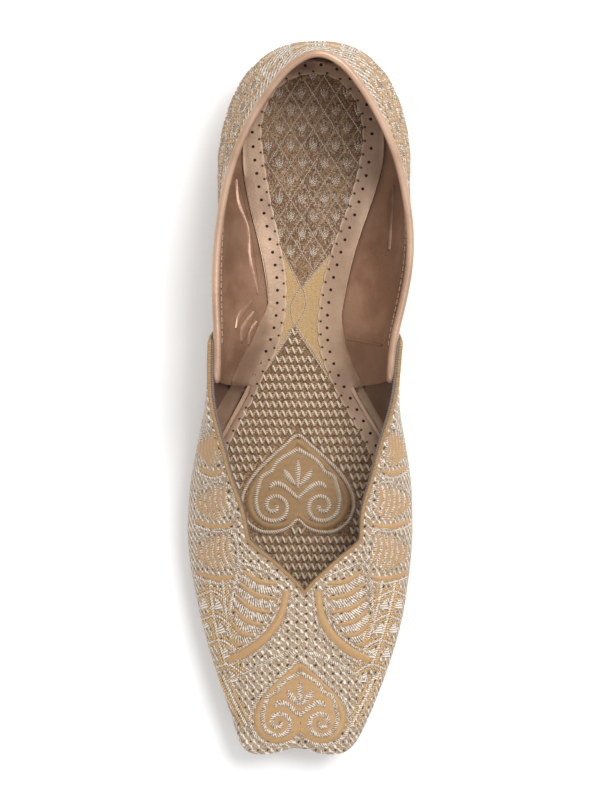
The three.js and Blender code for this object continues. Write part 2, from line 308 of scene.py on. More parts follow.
def outer_sheet(name, corners, levels=2):
    """The smooth outer face of a node. corners are plan points (mm) whose corner stays sharp."""
    copy = copy_of_node(name)
    mesh = bmesh.new()
    mesh.from_mesh(copy.data)
    keep = set(soft_patches(mesh)[0])
    bmesh.ops.delete(mesh, geom=[f for f in mesh.faces if f not in keep], context="FACES")
    crease = mesh.verts.layers.float.new("crease_vert")
    rim = [v for v in mesh.verts if v.is_boundary]
    for x, y in corners:
        spot = min(rim, key=lambda v: (v.co.x / MM - x) ** 2 + (v.co.y / MM - y) ** 2
                   - (v.co.z / MM))
        spot[crease] = 0.8
    mesh.to_mesh(copy.data)
    mesh.free()
    add_modifier(copy, "SUBSURF", levels=levels, render_levels=levels)
    copy.name = name + "_sheet"
    print(copy.name, len(copy.data.polygons), "faces")
    return copy


vamp_sheet = outer_sheet("vamp", [(1.5, -67.7), (-18.5, -49.5), (21.4, -49.5),
                                  (-29.8, 20.5), (33.8, 20.5)])
quarter_sheet = outer_sheet("quarter", [])

# %% [markdown]
# Patterns are drawn on the cloth in millimetres. A point of the cloth is named by how far it lies
# from the middle line, measured over the curve and down the wall, and by its place along the
# shoe. Those two numbers are stored as a UV map, so the weave wraps round the sides.

# %% Cloth coordinates
UV_SCALE = 0.01             # UV units in a millimetre
MIDDLE_X = 0.5              # the vamp's middle line, mm
THROAT_Y = -68              # the tip of the throat, mm
WALL_SHARE = 0.85           # share of a wall's height that counts as width
WING_SHARE = 1.2            # the same at the back of the wings, where the wall leans outwards
WING_START_Y = -45          # from here back one share passes into the other, mm
WING_PASSAGE = 50           # and this is how far it takes, mm


def cloth_coordinates(obj, unrolled):
    """Stores unrolled(x, y, z), the place on the flat cloth in mm, as the UV map."""
    layer = obj.data.uv_layers.new(name="cloth")
    points = obj.data.vertices
    for loop in obj.data.loops:
        across, along = unrolled(*(points[loop.vertex_index].co / MM))
        layer.data[loop.index].uv = (across * UV_SCALE, along * UV_SCALE)


def ridge_heights(sheet):
    """Height of the vamp's middle line at each whole millimetre ahead of the throat."""
    heights = {}
    for vertex in sheet.data.vertices:
        x, y, z = vertex.co / MM
        if abs(x - MIDDLE_X) < 2 and y < THROAT_Y:
            heights[round(y)] = max(z, heights.get(round(y), 0))
    return heights


ridge = ridge_heights(vamp_sheet)


def ridge_at(y):
    return ridge[min(ridge, key=lambda row: abs(row - y))]


def unroll_vamp(x, y, z):
    off = x - MIDDLE_X
    back = min(1, max(0, (y - WING_START_Y) / WING_PASSAGE))
    share = WALL_SHARE + (WING_SHARE - WALL_SHARE) * back
    return off + math.copysign(share * max(0, ridge_at(y) - z), off), y


cloth_coordinates(vamp_sheet, unroll_vamp)

# %% Laying flat drawings on a surface
ABOVE, BELOW, ASIDE = 0.2, -0.1, 0.1        # heights and reach from which the rays start, m


class Ground:
    """Finds points on a set of surfaces, along rays that start far outside them."""

    def __init__(self, *objects):
        vertices, faces = [], []
        for obj in objects:
            start = len(vertices)
            vertices += [v.co.copy() for v in obj.data.vertices]
            faces += [[start + i for i in face.vertices] for face in obj.data.polygons]
        self.tree = BVHTree.FromPolygons(vertices, faces)

    def hit(self, origin, direction):
        """Point and outward normal where a ray meets the surface's outer side, or None."""
        place, normal, _, _ = self.tree.ray_cast(origin, direction)
        if place is None or normal.dot(direction) > 0:
            return None
        return place, normal

    def from_above(self, x, y):
        return self.hit(Vector((x * MM, y * MM, ABOVE)), Vector((0, 0, -1)))

    def from_below(self, x, y):
        return self.hit(Vector((x * MM, y * MM, BELOW)), Vector((0, 0, 1)))

    def from_side(self, along, height):
        """along runs round the shoe, over the outer side, the heel and the inner side."""
        return self.hit(*round_the_shoe(along, height))


HEEL_CENTRE = Vector((5.6, 88))  # middle of the heel's curve in plan, mm
HEEL_REACH = 34             # radius of the path round the heel, mm
HALF_TURN = math.pi * HEEL_REACH


def round_the_shoe(along, height):
    """Ray inwards from a path that runs up one side, round the heel and down the other side.
    along is 0 at the back of the heel, below 0 on the outer side and above 0 on the inner side."""
    side = 1 if along > 0 else -1
    past = abs(along) - HALF_TURN / 2
    if past > 0:
        outward = Vector((side, 0, 0))
        foot = Vector((HEEL_CENTRE.x * MM, (HEEL_CENTRE.y - past) * MM, height * MM))
    else:
        angle = along / HEEL_REACH
        outward = Vector((math.sin(angle), math.cos(angle), 0))
        foot = Vector((HEEL_CENTRE.x * MM, HEEL_CENTRE.y * MM, height * MM))
    return foot + outward * ASIDE, -outward


def unroll_quarter(x, y, z):
    """The same path read backwards: how far round the shoe a point lies, and its height."""
    off_x, off_y = x - HEEL_CENTRE.x, y - HEEL_CENTRE.y
    if off_y < 0:
        return math.copysign(HALF_TURN / 2 - off_y, off_x), z
    return math.atan2(off_x, off_y) * HEEL_REACH, z


# %% Ribbons
def smooth_path(points, step, closed=False):
    """A Catmull-Rom curve through points, at even steps. Points may hold any number of values."""
    count = len(points)
    ends = range(count if closed else count - 1)
    curve = []
    for i in ends:
        if closed:
            a, b, c, d = (points[(i + k) % count] for k in (-1, 0, 1, 2))
        else:
            b, c = points[i], points[i + 1]
            a = points[i - 1] if i else [2 * p - q for p, q in zip(b, c)]
            d = points[i + 2] if i + 2 < count else [2 * q - p for p, q in zip(b, c)]
        pieces = max(2, math.ceil(math.dist(b[:2], c[:2]) / step))
        for k in range(pieces):
            f = k / pieces
            curve.append([0.5 * (2 * q + (r - p) * f + (2 * p - 5 * q + 4 * r - s) * f * f
                                 + (3 * q - p - 3 * r + s) * f ** 3)
                          for p, q, r, s in zip(a, b, c, d)])
    if not closed:
        curve.append(list(points[-1]))
    return curve


def run_at(path, i, closed=False, reach=1):
    """Unit direction of a plan path at its spot i."""
    last = len(path) - 1
    if closed:
        before, after = path[i - reach], path[(i + reach) % (last + 1)]
    else:
        before, after = path[max(0, i - reach)], path[min(last, i + reach)]
    run = Vector((after[0] - before[0], after[1] - before[1]))
    return run.normalized() if run.length else Vector((1, 0))


class Trim:
    """Collects ribbons and cords laid on a surface, and makes them one mesh."""

    def __init__(self, place, flip=False):
        self.place = place
        self.flip = flip
        self.vertices = []
        self.faces = []
        self.uvs = []

    def ribbon(self, points, width, lift, across=4, closed=False, step=0.8, curved=True,
               sink=0.25, plate=False):
        """A band along points (x, y or along, height). A third value in a point scales its
        width. Its middle stands lift above the surface and its edges sink below it. A plate
        stands at its full lift from one edge to the other."""
        points = [tuple(p) + (1,) * (3 - len(p)) for p in points]
        path = smooth_path(points, step, closed) if curved else self.straight(points, step)
        rows = []
        length = 0
        for i, (x, y, scale) in enumerate(path):
            run = run_at(path, i, closed)
            row = []
            for k in range(across + 1):
                f = 2 * k / across - 1
                reach = f * width * scale / 2
                found = self.place(x - run.y * reach, y + run.x * reach)
                if found is None:
                    row = None
                    break
                spot, normal = found
                height = lift * (1 if plate else math.sqrt(1 - f * f)) if abs(f) < 1 else -sink
                row.append(spot + normal * (height * MM))
            if i:
                length += math.dist(path[i - 1][:2], (x, y))
            rows.append((row, length))
        self.weave(rows, closed)

    def straight(self, points, step):
        path = []
        for a, b in zip(points, points[1:]):
            pieces = max(1, math.ceil(math.dist(a[:2], b[:2]) / step))
            path += [[p + (q - p) * k / pieces for p, q in zip(a, b)] for k in range(pieces)]
        return path + [list(points[-1])]

    def weave(self, rows, closed):
        pairs = list(zip(rows, rows[1:]))
        if closed:
            pairs.append((rows[-1], (rows[0][0], rows[-1][1] + 1)))
        for (first, start), (second, end) in pairs:
            if first is None or second is None:
                continue
            base = len(self.vertices)
            self.vertices += first + second
            count = len(first)
            for k in range(count - 1):
                left, right = k / (count - 1), (k + 1) / (count - 1)
                corners = [(base + k, (start * UV_SCALE, left)),
                           (base + count + k, (end * UV_SCALE, left)),
                           (base + count + k + 1, (end * UV_SCALE, right)),
                           (base + k + 1, (start * UV_SCALE, right))]
                if self.flip:
                    corners.reverse()
                self.faces.append([corner for corner, _ in corners])
                self.uvs += [uv for _, uv in corners]

    def build(self, name, material, slot, smooth=60):
        mesh = bpy.data.meshes.new(name)
        mesh.from_pydata(self.vertices, [], self.faces)
        layer = mesh.uv_layers.new(name="cloth")
        for loop, uv in zip(layer.data, self.uvs):
            loop.uv = uv
        obj = new_object(name, mesh)
        edit_all(obj, (bpy.ops.mesh.remove_doubles, {"threshold": 0.002 * MM}))
        return finish_piece(obj, name, material, smooth)

# %% [markdown]
# ## Effects that several materials share
# Thread is a twist: fine slanted lines that run round a cord. Cloth is a grain of tiny warps and
# wefts. Leather is a pebble of small cells with a slow change of tone. Each is a node group with
# its own scale, so that one change reaches every material that uses it.

# %% Twisted thread, on ribbons and cords
def make_twist_group():
    tree, n, given, out = new_group(
        "twisted_thread", {"Pitch mm": 0.6, "Slant": 0.8}, ("Strand", "Shade"))
    _, along, across = n.cloth()
    turns = n.math("DIVIDE", n.math("DIVIDE", along, UV_SCALE), given["Pitch mm"])
    leaning = n.math("MULTIPLY_ADD", across, given["Slant"], turns)
    wave = n.math("SINE", n.math("MULTIPLY", leaning, 2 * math.pi))
    n.plug(out["Strand"], n.math("MULTIPLY_ADD", wave, 0.5, 0.5))
    n.plug(out["Shade"], n.noise(n.place(), 900, 2))
    return tree


twist_group = make_twist_group()


# %% Leather grain
def make_leather_group():
    tree, n, given, out = new_group("leather_grain", {"Scale": 900.0}, ("Height", "Tone"))
    place = n.place()
    cells = n.add("ShaderNodeTexVoronoi", {"Vector": place, "Scale": given["Scale"]},
                  feature="SMOOTH_F1")
    n.plug(out["Height"], cells.outputs["Distance"])
    n.plug(out["Tone"], n.noise(place, 45, 4, 0.6))
    return tree


leather_group = make_leather_group()


def use_group(nodes, group, **values):
    node = nodes.add("ShaderNodeGroup")
    node.node_tree = group
    for name, value in values.items():
        node.inputs[name.replace("_", " ")].default_value = value
    return node.outputs


# %% [markdown]
# ## Materials
# Metallic yarn is neither metal nor plain thread, so each yarn is part metallic and rough. Gold
# and silver differ only in colour and gleam. The ground of the brocade is one charted repeat: two
# slanted silver floats and two thinner gold ones on tan, with a dark gap between them.

# %% Cords and satin
THREADS = {                 # light, dark, roughness, metallic, pitch (mm), slant, depth (mm)
    "silver_cord": ((222, 210, 196), (134, 112, 90), 0.45, 0.25, 0.9, 1.0, 0.22),
    "gold_cord": ((200, 164, 112), (138, 104, 62), 0.45, 0.25, 0.9, 1.0, 0.2),
    "gold_satin": ((182, 146, 102), (150, 114, 72), 0.48, 0.2, 0.42, 0.0, 0.08),
    # painted shade: the next entry is a darker copy of gold_satin, for the insole's heart in the
    # shoe's shade
    "sock_gold_shaded": ((158, 126, 86), (126, 96, 62), 0.5, 0.2, 0.42, 0.0, 0.08),
    "sock_tan_thread": ((206, 176, 136), (140, 108, 76), 0.45, 0.15, 0.8, 1.0, 0.2),
    # painted shade: the next entry is a darker copy of silver_cord, for the insole's threads in
    # the shoe's shade
    "sock_silver_shaded": ((216, 200, 180), (126, 100, 76), 0.45, 0.25, 0.8, 1.0, 0.2),
    "pale_stitch": ((250, 242, 230), (184, 162, 138), 0.4, 0.15, 0.6, 1.0, 0.15),
    "raw_edge": ((186, 150, 104), (128, 94, 56), 0.75, 0.1, 0.5, 0.3, 0.25),
    "dark_edge": ((112, 100, 96), (78, 68, 66), 0.7, 0.0, 0.8, 0.1, 0.1),
    "leather_thread": ((190, 160, 138), (128, 98, 80), 0.6, 0.1, 0.5, 1.2, 0.12),
    "window_satin": ((150, 122, 92), (112, 86, 60), 0.45, 0.3, 0.5, 0.0, 0.08),
}


def thread_material(name, light, dark, roughness, metallic, pitch, slant, depth):
    material, n, shader = new_material(name, roughness, metallic)
    twist = use_group(n, twist_group, Pitch_mm=pitch, Slant=slant)
    tone = n.math("MULTIPLY_ADD", twist["Strand"], 0.6, n.math("MULTIPLY", twist["Shade"], 0.55))
    n.plug(shader.inputs["Base Color"],
           n.mix(n.step(tone, 0.15, 0.75), rgb(*dark), rgb(*light)))
    n.plug(shader.inputs["Normal"], n.bump(twist["Strand"], depth * MM))
    return material


thread = {name: thread_material(name, *facts) for name, facts in THREADS.items()}


# %% Fuzzy silver rows, between the stripes of satin
def make_silver_fuzz():
    material, n, shader = new_material("silver_fuzz", 0.55, 0.2)
    twist = use_group(n, twist_group, Pitch_mm=0.85, Slant=1.6)
    coarse = n.noise(n.place(), 1100, 2, 0.6)
    tone = n.math("MULTIPLY_ADD", twist["Strand"], 0.3, n.math("MULTIPLY", coarse, 0.8))
    colour = n.mix(n.step(tone, 0.36, 0.5), rgb(104, 84, 66), rgb(168, 150, 130))
    colour = n.mix(n.step(tone, 0.58, 0.74), colour, rgb(228, 218, 206))
    n.plug(shader.inputs["Base Color"], colour)
    n.plug(shader.inputs["Normal"], n.bump(tone, 0.4 * MM))
    return material


silver_fuzz = make_silver_fuzz()

# %% Brocade ground
FLOAT_RUN = (0.64, -0.77)   # direction in which the floats lean on the cloth
FLOAT_SIZE = (1.25, 0.3)    # half the length and half the width of a float, mm


def make_brocade_group():
    tree, n, given, out = new_group(
        "brocade_weave", {"Width mm": 3.4, "Height mm": 3.05},
        ("Pale", "Tan", "Gap", "Fleck", "Relief"))
    uv, u, v = n.cloth()
    wander = n.math("MULTIPLY_ADD", n.noise(uv, 90, 1), 1.3, -0.65)
    across = n.math("ADD", n.math("DIVIDE", u, UV_SCALE), wander)
    along = n.math("ADD", n.math("DIVIDE", v, UV_SCALE), wander)

    def from_spot(x, y):
        """Distances (mm) across and along from the nearest copy of a spot of the repeat."""
        offsets = []
        for value, size, share in ((across, given["Width mm"], x), (along, given["Height mm"], y)):
            cell = n.math("FRACT", n.math("ADD", n.math("DIVIDE", value, size), 0.5 - share))
            offsets.append(n.math("MULTIPLY", n.math("SUBTRACT", cell, 0.5), size))
        return offsets

    def float_at(x, y, scale):
        dx, dy = from_spot(x, y)
        run = n.math("ADD", n.math("MULTIPLY", dx, FLOAT_RUN[0]),
                     n.math("MULTIPLY", dy, FLOAT_RUN[1]))
        side = n.math("SUBTRACT", n.math("MULTIPLY", dx, FLOAT_RUN[1]),
                      n.math("MULTIPLY", dy, FLOAT_RUN[0]))
        reach = n.math("ADD", n.math("POWER", n.math("DIVIDE", run, FLOAT_SIZE[0] * scale), 2.0),
                       n.math("POWER", n.math("DIVIDE", side, FLOAT_SIZE[1] * scale), 2.0))
        return n.step(n.math("SUBTRACT", 1.3, reach), 0.0, 0.8)

    pale = n.math("MAXIMUM", float_at(0.0, 0.45, 1.0), float_at(0.52, 0.0, 1.0))
    tan = n.math("MAXIMUM", float_at(0.22, 0.28, 0.85), float_at(0.75, 0.75, 0.85))
    gap = n.invert(n.step(n.hypotenuse(*from_spot(0.5, 0.5)), 0.26, 0.52))
    fleck = n.noise(n.place(), 1500, 2, 0.6)
    threads = n.math("MULTIPLY_ADD", pale, 0.6, n.math("MULTIPLY", tan, 0.3))
    relief = n.math("SUBTRACT", n.math("MULTIPLY_ADD", fleck, 0.5, threads),
                    n.math("MULTIPLY", gap, 0.6))
    for label, value in (("Pale", pale), ("Tan", tan), ("Gap", gap), ("Fleck", fleck),
                         ("Relief", relief)):
        n.plug(out[label], value)
    return tree


brocade_group = make_brocade_group()


PALE = rgb(238, 228, 216)
GROUND = rgb(172, 150, 124)
TAN = rgb(180, 136, 92)
GAP = rgb(54, 38, 26)


def brocade(name, width, height):
    """A woven repeat width by height mm."""
    material, n, shader = new_material(name, 0.5, 0.25)
    weave = use_group(n, brocade_group, Width_mm=width, Height_mm=height)
    colour = n.mix(n.step(weave["Fleck"], 0.36, 0.6), n.mix(0.5, GROUND, GAP), GROUND)
    colour = n.mix(n.math("MULTIPLY", weave["Tan"], 0.8), colour, TAN)
    colour = n.mix(weave["Gap"], colour, GAP)
    colour = n.mix(n.math("MULTIPLY", weave["Pale"], 0.92), colour, PALE)
    n.plug(shader.inputs["Base Color"], colour)
    n.plug(shader.inputs["Roughness"], n.math("MULTIPLY_ADD", weave["Fleck"], 0.3, 0.32))
    n.plug(shader.inputs["Normal"], n.bump(weave["Relief"], 0.5 * MM))
    return material


vamp_brocade = brocade("vamp_brocade", 3.4, 3.05)
quarter_brocade = brocade("quarter_brocade", 3.0, 2.8)


# %% Leather and rubber
def leather(name, light, dark, roughness, metallic, grain, depth):
    material, n, shader = new_material(name, roughness, metallic)
    skin = use_group(n, leather_group, Scale=grain)
    n.plug(shader.inputs["Base Color"], n.mix(n.step(skin["Tone"], 0.35, 0.65), dark, light))
    n.plug(shader.inputs["Roughness"], n.math("MULTIPLY_ADD", skin["Tone"], 0.25,
                                              roughness - 0.12))
    n.plug(shader.inputs["Normal"], n.bump(skin["Height"], depth * MM, 0.6))
    return material


rose_leather = leather("rose_leather", rgb(184, 152, 128), rgb(164, 132, 108), 0.4, 0.35, 1100,
                       0.1)
# painted shade: the lining's tones are set darker than lit leather, for the shade inside the shoe
lining_leather = leather("lining_leather", rgb(158, 124, 102), rgb(128, 96, 76), 0.34, 0.35,
                         900, 0.14)
wing_lining = leather("wing_lining", rgb(128, 100, 82), rgb(102, 78, 64), 0.5, 0.2, 900, 0.12)
sole_rubber = leather("sole_rubber", rgb(140, 112, 90), rgb(124, 98, 78), 0.62, 0.0, 1500, 0.12)
floor_paper, n, shader = new_material("floor_paper", 0.8)
n.plug(shader.inputs["Base Color"], n.mix(n.noise(n.place(), 8, 2), rgb(246, 246, 246),
                                          rgb(250, 250, 250)))
floor.data.materials.append(floor_paper)

# %% [markdown]
# ## Vamp and quarter
# The sheet is copied for each layer. Solidify grows the brocade inwards from the last's surface.
# The lining starts where the brocade ends. Both walls stay inside the thickness of the frame's.

# %% Layers of the upper
BROCADE = 1.0               # thickness of the brocade with its backing, mm
LINING = 0.8                # thickness of the lining, mm


def layer_of(sheet, start, thickness, name, material):
    """A wall from start to start + thickness (mm) under the sheet's outer face."""
    layer = copy_of(sheet)
    if start:
        edit_all(layer, (bpy.ops.transform.shrink_fatten, {"value": -start * MM}))
    add_modifier(layer, "SOLIDIFY", thickness=thickness * MM, offset=-1)
    return finish_piece(layer, name, material, smooth=50)


cloth_coordinates(quarter_sheet, unroll_quarter)
vamp = layer_of(vamp_sheet, 0, BROCADE, "vamp_brocade", vamp_brocade)
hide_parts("vamp")
vamp_inside = layer_of(vamp_sheet, BROCADE + 0.02, LINING, "vamp_lining", wing_lining)
quarter = layer_of(quarter_sheet, 0, BROCADE, "quarter_brocade", quarter_brocade)
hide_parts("quarter")
quarter_inside = layer_of(quarter_sheet, BROCADE + 0.02, LINING, "quarter_lining",
                          lining_leather)
vamp_ground = Ground(vamp_sheet)
quarter_ground = Ground(quarter_sheet)

# %% [markdown]
# ## Motifs of the vamp
# The brocade has a heart on the toe, a pair of satin crescents that hold striped fans, more fans
# up the sides, and a lattice of cords at the edge. Both halves mirror each other, so each motif
# is drawn once, with its distance from the middle line and its place along the shoe, and laid
# twice. A ribbon follows a smooth curve on the cloth, with its middle raised like a real float.

# %% Mirrored drawing
def middle_line(y):
    """The drawing's own middle line, which leans a little with the foot."""
    return 1.3 * smooth_between(y, -95, -60) - 0.4


def mirrored(points, side):
    return [(middle_line(p[1]) + side * p[0], p[1], *p[2:]) for p in points]


def beside(points, distance):
    """The curve through points, moved sideways by distance (mm)."""
    path = smooth_path([tuple(p)[:2] for p in points], 2.5)
    runs = [run_at(path, i) for i in range(len(path))]
    return [(x - run.y * distance, y + run.x * distance) for (x, y), run in zip(path, runs)]


satin, silver, gold, fuzz = (Trim(vamp_ground.from_above) for _ in range(4))

# %% Crescents and their fans
CRESCENT = [(5.6, -66.5, 0.95), (6.3, -72), (8.0, -77.5, 1.1), (11.8, -83, 1.15),
            (16.6, -87.2, 1.2), (21, -89.8, 1.2), (24.6, -91.2, 1.05), (25.3, -91.4, 0.5)]
CRESCENT_WIDTH = 3.2
FAN_INNER = [(8.6, -64.2), (9.0, -69.4), (10.6, -74.4), (13.0, -78.9), (16.0, -82.7),
             (19.6, -85.8)]
FAN_OUTER = [(20.8, -59.8), (22.0, -64.2), (22.9, -68.8), (23.6, -73.4), (24.2, -78),
             (24.8, -82.8)]
FAN_SAG = 1.5


def halfway(a, b):
    return (a[0] + b[0]) / 2, (a[1] + b[1]) / 2


def arc_between(start, end, sag):
    """Three points: start, a middle that lies sag to the right of the chord, and end."""
    run = Vector((end[0] - start[0], end[1] - start[1]))
    side = Vector((run.y, -run.x)).normalized() * sag
    x, y = halfway(start, end)
    return [(*start, 0.6), (x + side.x, y + side.y, 1.15), (*end, 0.6)]


for side in (-1, 1):
    fan = list(zip(FAN_INNER, FAN_OUTER))
    for (a, b), (c, d) in zip(fan, fan[1:]):
        between = arc_between(halfway(a, c), halfway(b, d), FAN_SAG)
        fuzz.ribbon(mirrored(between, side), 3.4, 0.22, across=6)
    for start, end in fan:
        satin.ribbon(mirrored(arc_between(start, end, FAN_SAG), side), 1.9, 0.42)
    satin.ribbon(mirrored(CRESCENT, side), CRESCENT_WIDTH, 0.45)
    for offset in (-2.1, 2.1):
        fuzz.ribbon(mirrored(beside(CRESCENT, offset), side), 1.2, 0.5)
    halo = [(1.2, -88.6), (7, -89.8), (13, -92.6), (19.5, -96.2), (25.4, -99.4)]
    fuzz.ribbon(mirrored(halo, side), 1.7, 0.4)
    rim = [(8.2, -61.8), (14, -59.4), (21.6, -57.6), (23.6, -64), (25, -73), (25.6, -82)]
    fuzz.ribbon(mirrored(rim, side), 1.3, 0.45)

# %% Fans up the sides
SIDE_FANS = [               # x and y of the fan's upper inner corner, its width and height
    (23.2, -45.6, 14.2, 16.0),
    (24.4, -29.0, 13.2, 14.4),
    (28.0, -10.0, 8.2, 14.6),
]
SIDE_STRIPES = 6

for side in (-1, 1):
    for x, y, width, height in SIDE_FANS:
        for k in range(SIDE_STRIPES):
            f = (k + 0.5) / SIDE_STRIPES
            start = (x + width * (0.12 + 0.88 * f), y - height * (0.04 + 0.36 * f * f))
            end = (x + width * (0.02 + 0.78 * f), y - height * (0.62 + 0.3 * math.sin(3 * f)))
            stripe = arc_between(start, end, -1.3)
            fuzz.ribbon(mirrored(stripe, side), 2.9, 0.2, across=6)
            satin.ribbon(mirrored(stripe, side), 1.6, 0.38)
        rim = [(x, y - 0.9 * height), (x - 0.6, y - 0.5 * height), (x + 0.8, y - 0.1 * height),
               (x + 0.4 * width, y + 0.4), (x + 0.8 * width, y - 0.1 * height),
               (x + width, y - 0.3 * height)]
        fuzz.ribbon(mirrored(rim, side), 1.1, 0.42)
        foot = [(x - 0.8, y - 0.97 * height, 0.4), (x + 0.35 * width, y - 1.08 * height, 1.2),
                (x + 0.75 * width, y - 1.02 * height, 1.0), (x + width, y - 0.92 * height, 0.6)]
        satin.ribbon(mirrored(foot, side), 2.2, 0.3)
        silver.ribbon(mirrored(beside(foot, -1.6), side), 0.8, 0.4)

# %% Lattice along the edge
LATTICE_TOP = -64.0
LATTICE_STEP = 8.6
LATTICE_ROWS = 4


def edge_of_cloth(y):
    """How far the drawing reaches from the middle line beside the toes (mm)."""
    return 38.4 - 0.0128 * max(0, -58 - y) ** 1.78


for side in (-1, 1):
    rails = [[(edge_of_cloth(y) - inset, y) for y in (-63, -70, -78, -86, -93)]
             for inset in (11.4, 10.2, 5.6, 4.4)]
    for i, rail in enumerate(rails):
        target = silver if i % 3 else gold
        target.ribbon(mirrored(rail, side), 0.95, 0.4)
    for row in range(LATTICE_ROWS):
        y = LATTICE_TOP - 2 - row * LATTICE_STEP
        outer = edge_of_cloth(y) - 0.6
        for k, (fall, cord) in enumerate(((0, gold), (1.3, silver), (2.6, gold))):
            cord.ribbon(mirrored([(outer - 12, y - 3.5 - fall), (outer - 6, y - fall),
                                  (outer, y - 2.2 - fall)], side), 0.9, 0.4)
        for x in (outer - 7.6, outer - 2.6):
            wedge = [(x, y - 3.8, 0.1), (x - 0.6, y - 7.4, 1.0)]
            silver.ribbon(mirrored(wedge, side), 4.2, 0.35, across=6, curved=False)
    for k in range(3):
        rail = [(edge_of_cloth(y) - 1.4 - 1.55 * k, y) for y in (-97, -103, -110, -115)]
        (silver if k % 2 else gold).ribbon(mirrored(rail, side), 0.95, 0.4)

# %% The heart
HEART = [                   # right half, from the tip to the notch: x, y from the middle
    (0, 16.2), (4.2, 12.9), (9.0, 8.7), (13.6, 3.9), (16.8, -1.4), (17.6, -6.4), (15.6, -11.1),
    (11.4, -13.9), (6.4, -14.0), (2.6, -12.4), (0, -10.2),
]
INNER_LINE = [              # right half: from under the tip down the side and into the whorl
    (0, 11.8), (3.0, 10.2), (5.2, 8.9), (7.2, 6.9), (8.4, 4.9), (11.2, 3.3), (12.3, 0.4),
    (13.2, -4.4), (12.0, -8.6), (8.8, -10.6), (5.4, -10.1), (3.5, -7.6), (4.0, -4.6),
    (6.5, -3.0), (9.0, -3.7), (9.9, -6.0), (8.6, -7.7), (6.8, -7.3), (6.6, -5.8),
]
SCROLL = [(0, -3.6, 0.8), (2.2, -1.6, 1), (4.4, 0.2, 1.15), (6.6, 1.0, 1.3), (8.2, 0.4, 1.1),
          (8.7, -0.5, 0.5)]
PETAL = [(0.6, 0.6, 0.5), (2.2, 2.2, 1.2), (3.6, 4.0, 1.3), (4.4, 5.4, 0.4)]
STEM = [(0, -0.2, 0.6), (0, 2.6, 0.9), (0, 5.6, 1.3), (0, 8.8, 0.3)]
HEART_BAND = 3.0


def heart_loop(centre_x, centre_y, scale=1.0):
    right = [(centre_x + x * scale, centre_y + y * scale) for x, y in HEART]
    left = [(2 * centre_x - x, y) for x, y in right[-2:0:-1]]
    return right + left


def half_width_of_heart(height):
    """Half the heart's width at a height over its middle (mm)."""
    side = [p for p in smooth_path(HEART, 0.6) if abs(p[1] - height) < 1.2]
    return max(p[0] for p in side) - 1.0 if side else 0.2


def draw_heart(satin_trim, silver_trim, x, y, scale=1.0):
    """A satin heart with a cord round it, a line inside that ends in two whorls, and a flower."""
    def laid(points):
        return [(x + p[0] * scale, y + p[1] * scale, *p[2:]) for p in points]

    fill = laid([(0, t, 0.1 + 2 * half_width_of_heart(t)) for t in range(-10, 16)])
    satin_trim.ribbon(fill, scale, 0.12, across=12, step=1.2, curved=False, plate=True)
    silver_trim.ribbon(heart_loop(x, y, scale), 1.5, 0.5, closed=True)
    satin_trim.ribbon(heart_loop(x, y - 0.2, 0.86 * scale), HEART_BAND, 0.35, closed=True)
    for side in (-1, 1):
        silver_trim.ribbon(laid([(side * p, q) for p, q in INNER_LINE]), 2.1, 0.6)
        for curl, width in ((SCROLL, 2.1), (PETAL, 2.2)):
            silver_trim.ribbon(laid([(side * p, q, w) for p, q, w in curl]), width, 0.6)
    silver_trim.ribbon(laid(STEM), 2.2, 0.6)


draw_heart(satin, fuzz, 0.0, -107.4)
satin.build("vamp_satin", thread["gold_satin"], "brocade")
silver.build("vamp_silver_cords", thread["silver_cord"], "brocade")
gold.build("vamp_gold_cords", thread["gold_cord"], "brocade")
fuzz.build("vamp_silver_fuzz", silver_fuzz, "brocade")

# %% [markdown]
# ## Windows of the quarter
# The quarter's brocade is plain weave beside the wings, and further back it has courses of small
# square windows, set like bricks: a dark satin square framed in silver and gold. They are drawn
# round the shoe by distance and height, and laid on it from the side.

# %% Courses of windows
COURSES = (20.0, 29.0, 38.0, 47.0, 56.0)    # heights of the courses, mm
BRICK = 9.6                 # length of a brick, mm
WINDOW = 4.6                # side of a window, mm
FIRST_WINDOW = 22           # the plain weave and bars at the back of the heel end here, mm
LAST_WINDOW = 84            # and the courses end here, mm

wall_dark, wall_silver, wall_gold = (Trim(quarter_ground.from_side, flip=True)
                                     for _ in range(3))


def topline_height(along):
    """Height of the quarter's topline at a distance round the shoe, or 0 (mm)."""
    height = 64
    while height > 14 and quarter_ground.from_side(along, height) is None:
        height -= 1
    return height


def box_loop(x, y, half, straight=(0.92, 0.92)):
    """A box round a point, with its corners cut. half is half its width and half its height, and
    straight is the share of each that is left of its sides."""
    (wide, tall), (a, b) = half, straight
    corners = ((-a, -1), (0, -1), (a, -1), (1, -b), (1, 0), (1, b),
               (a, 1), (0, 1), (-a, 1), (-1, b), (-1, 0), (-1, -b))
    return [(x + wide * across, y + tall * along) for across, along in corners]


for side in (-1, 1):
    for course, height in enumerate(COURSES):
        along = FIRST_WINDOW + (course % 2) * BRICK / 2
        while along < LAST_WINDOW:
            if height + WINDOW * 0.9 < topline_height(side * along):
                x = side * along
                wall_dark.ribbon([(x, height - WINDOW * 0.4), (x, height + WINDOW * 0.4)],
                                 WINDOW * 0.8, 0.15, across=4, step=1.5, curved=False, plate=True)
                for trim, share, width, lift, step in ((wall_silver, 0.52, 1.3, 0.42, 1.2),
                                                       (wall_gold, 0.86, 1.2, 0.35, 1.4)):
                    trim.ribbon(box_loop(x, height, [WINDOW * share] * 2), width, lift,
                                closed=True, step=step)
            along += BRICK
for height in (24, 33, 42, 51):
    for k in range(-3, 4):
        bar = [(k * 5.6 - 2.4, height), (k * 5.6, height + 1.1), (k * 5.6 + 2.4, height)]
        (wall_gold if k % 2 else wall_silver).ribbon(bar, 1.6, 0.4, step=1.2)
wall_dark.build("quarter_windows", thread["window_satin"], "brocade")
wall_silver.build("quarter_silver_frames", silver_fuzz, "brocade")
wall_gold.build("quarter_gold_frames", thread["gold_satin"], "brocade")

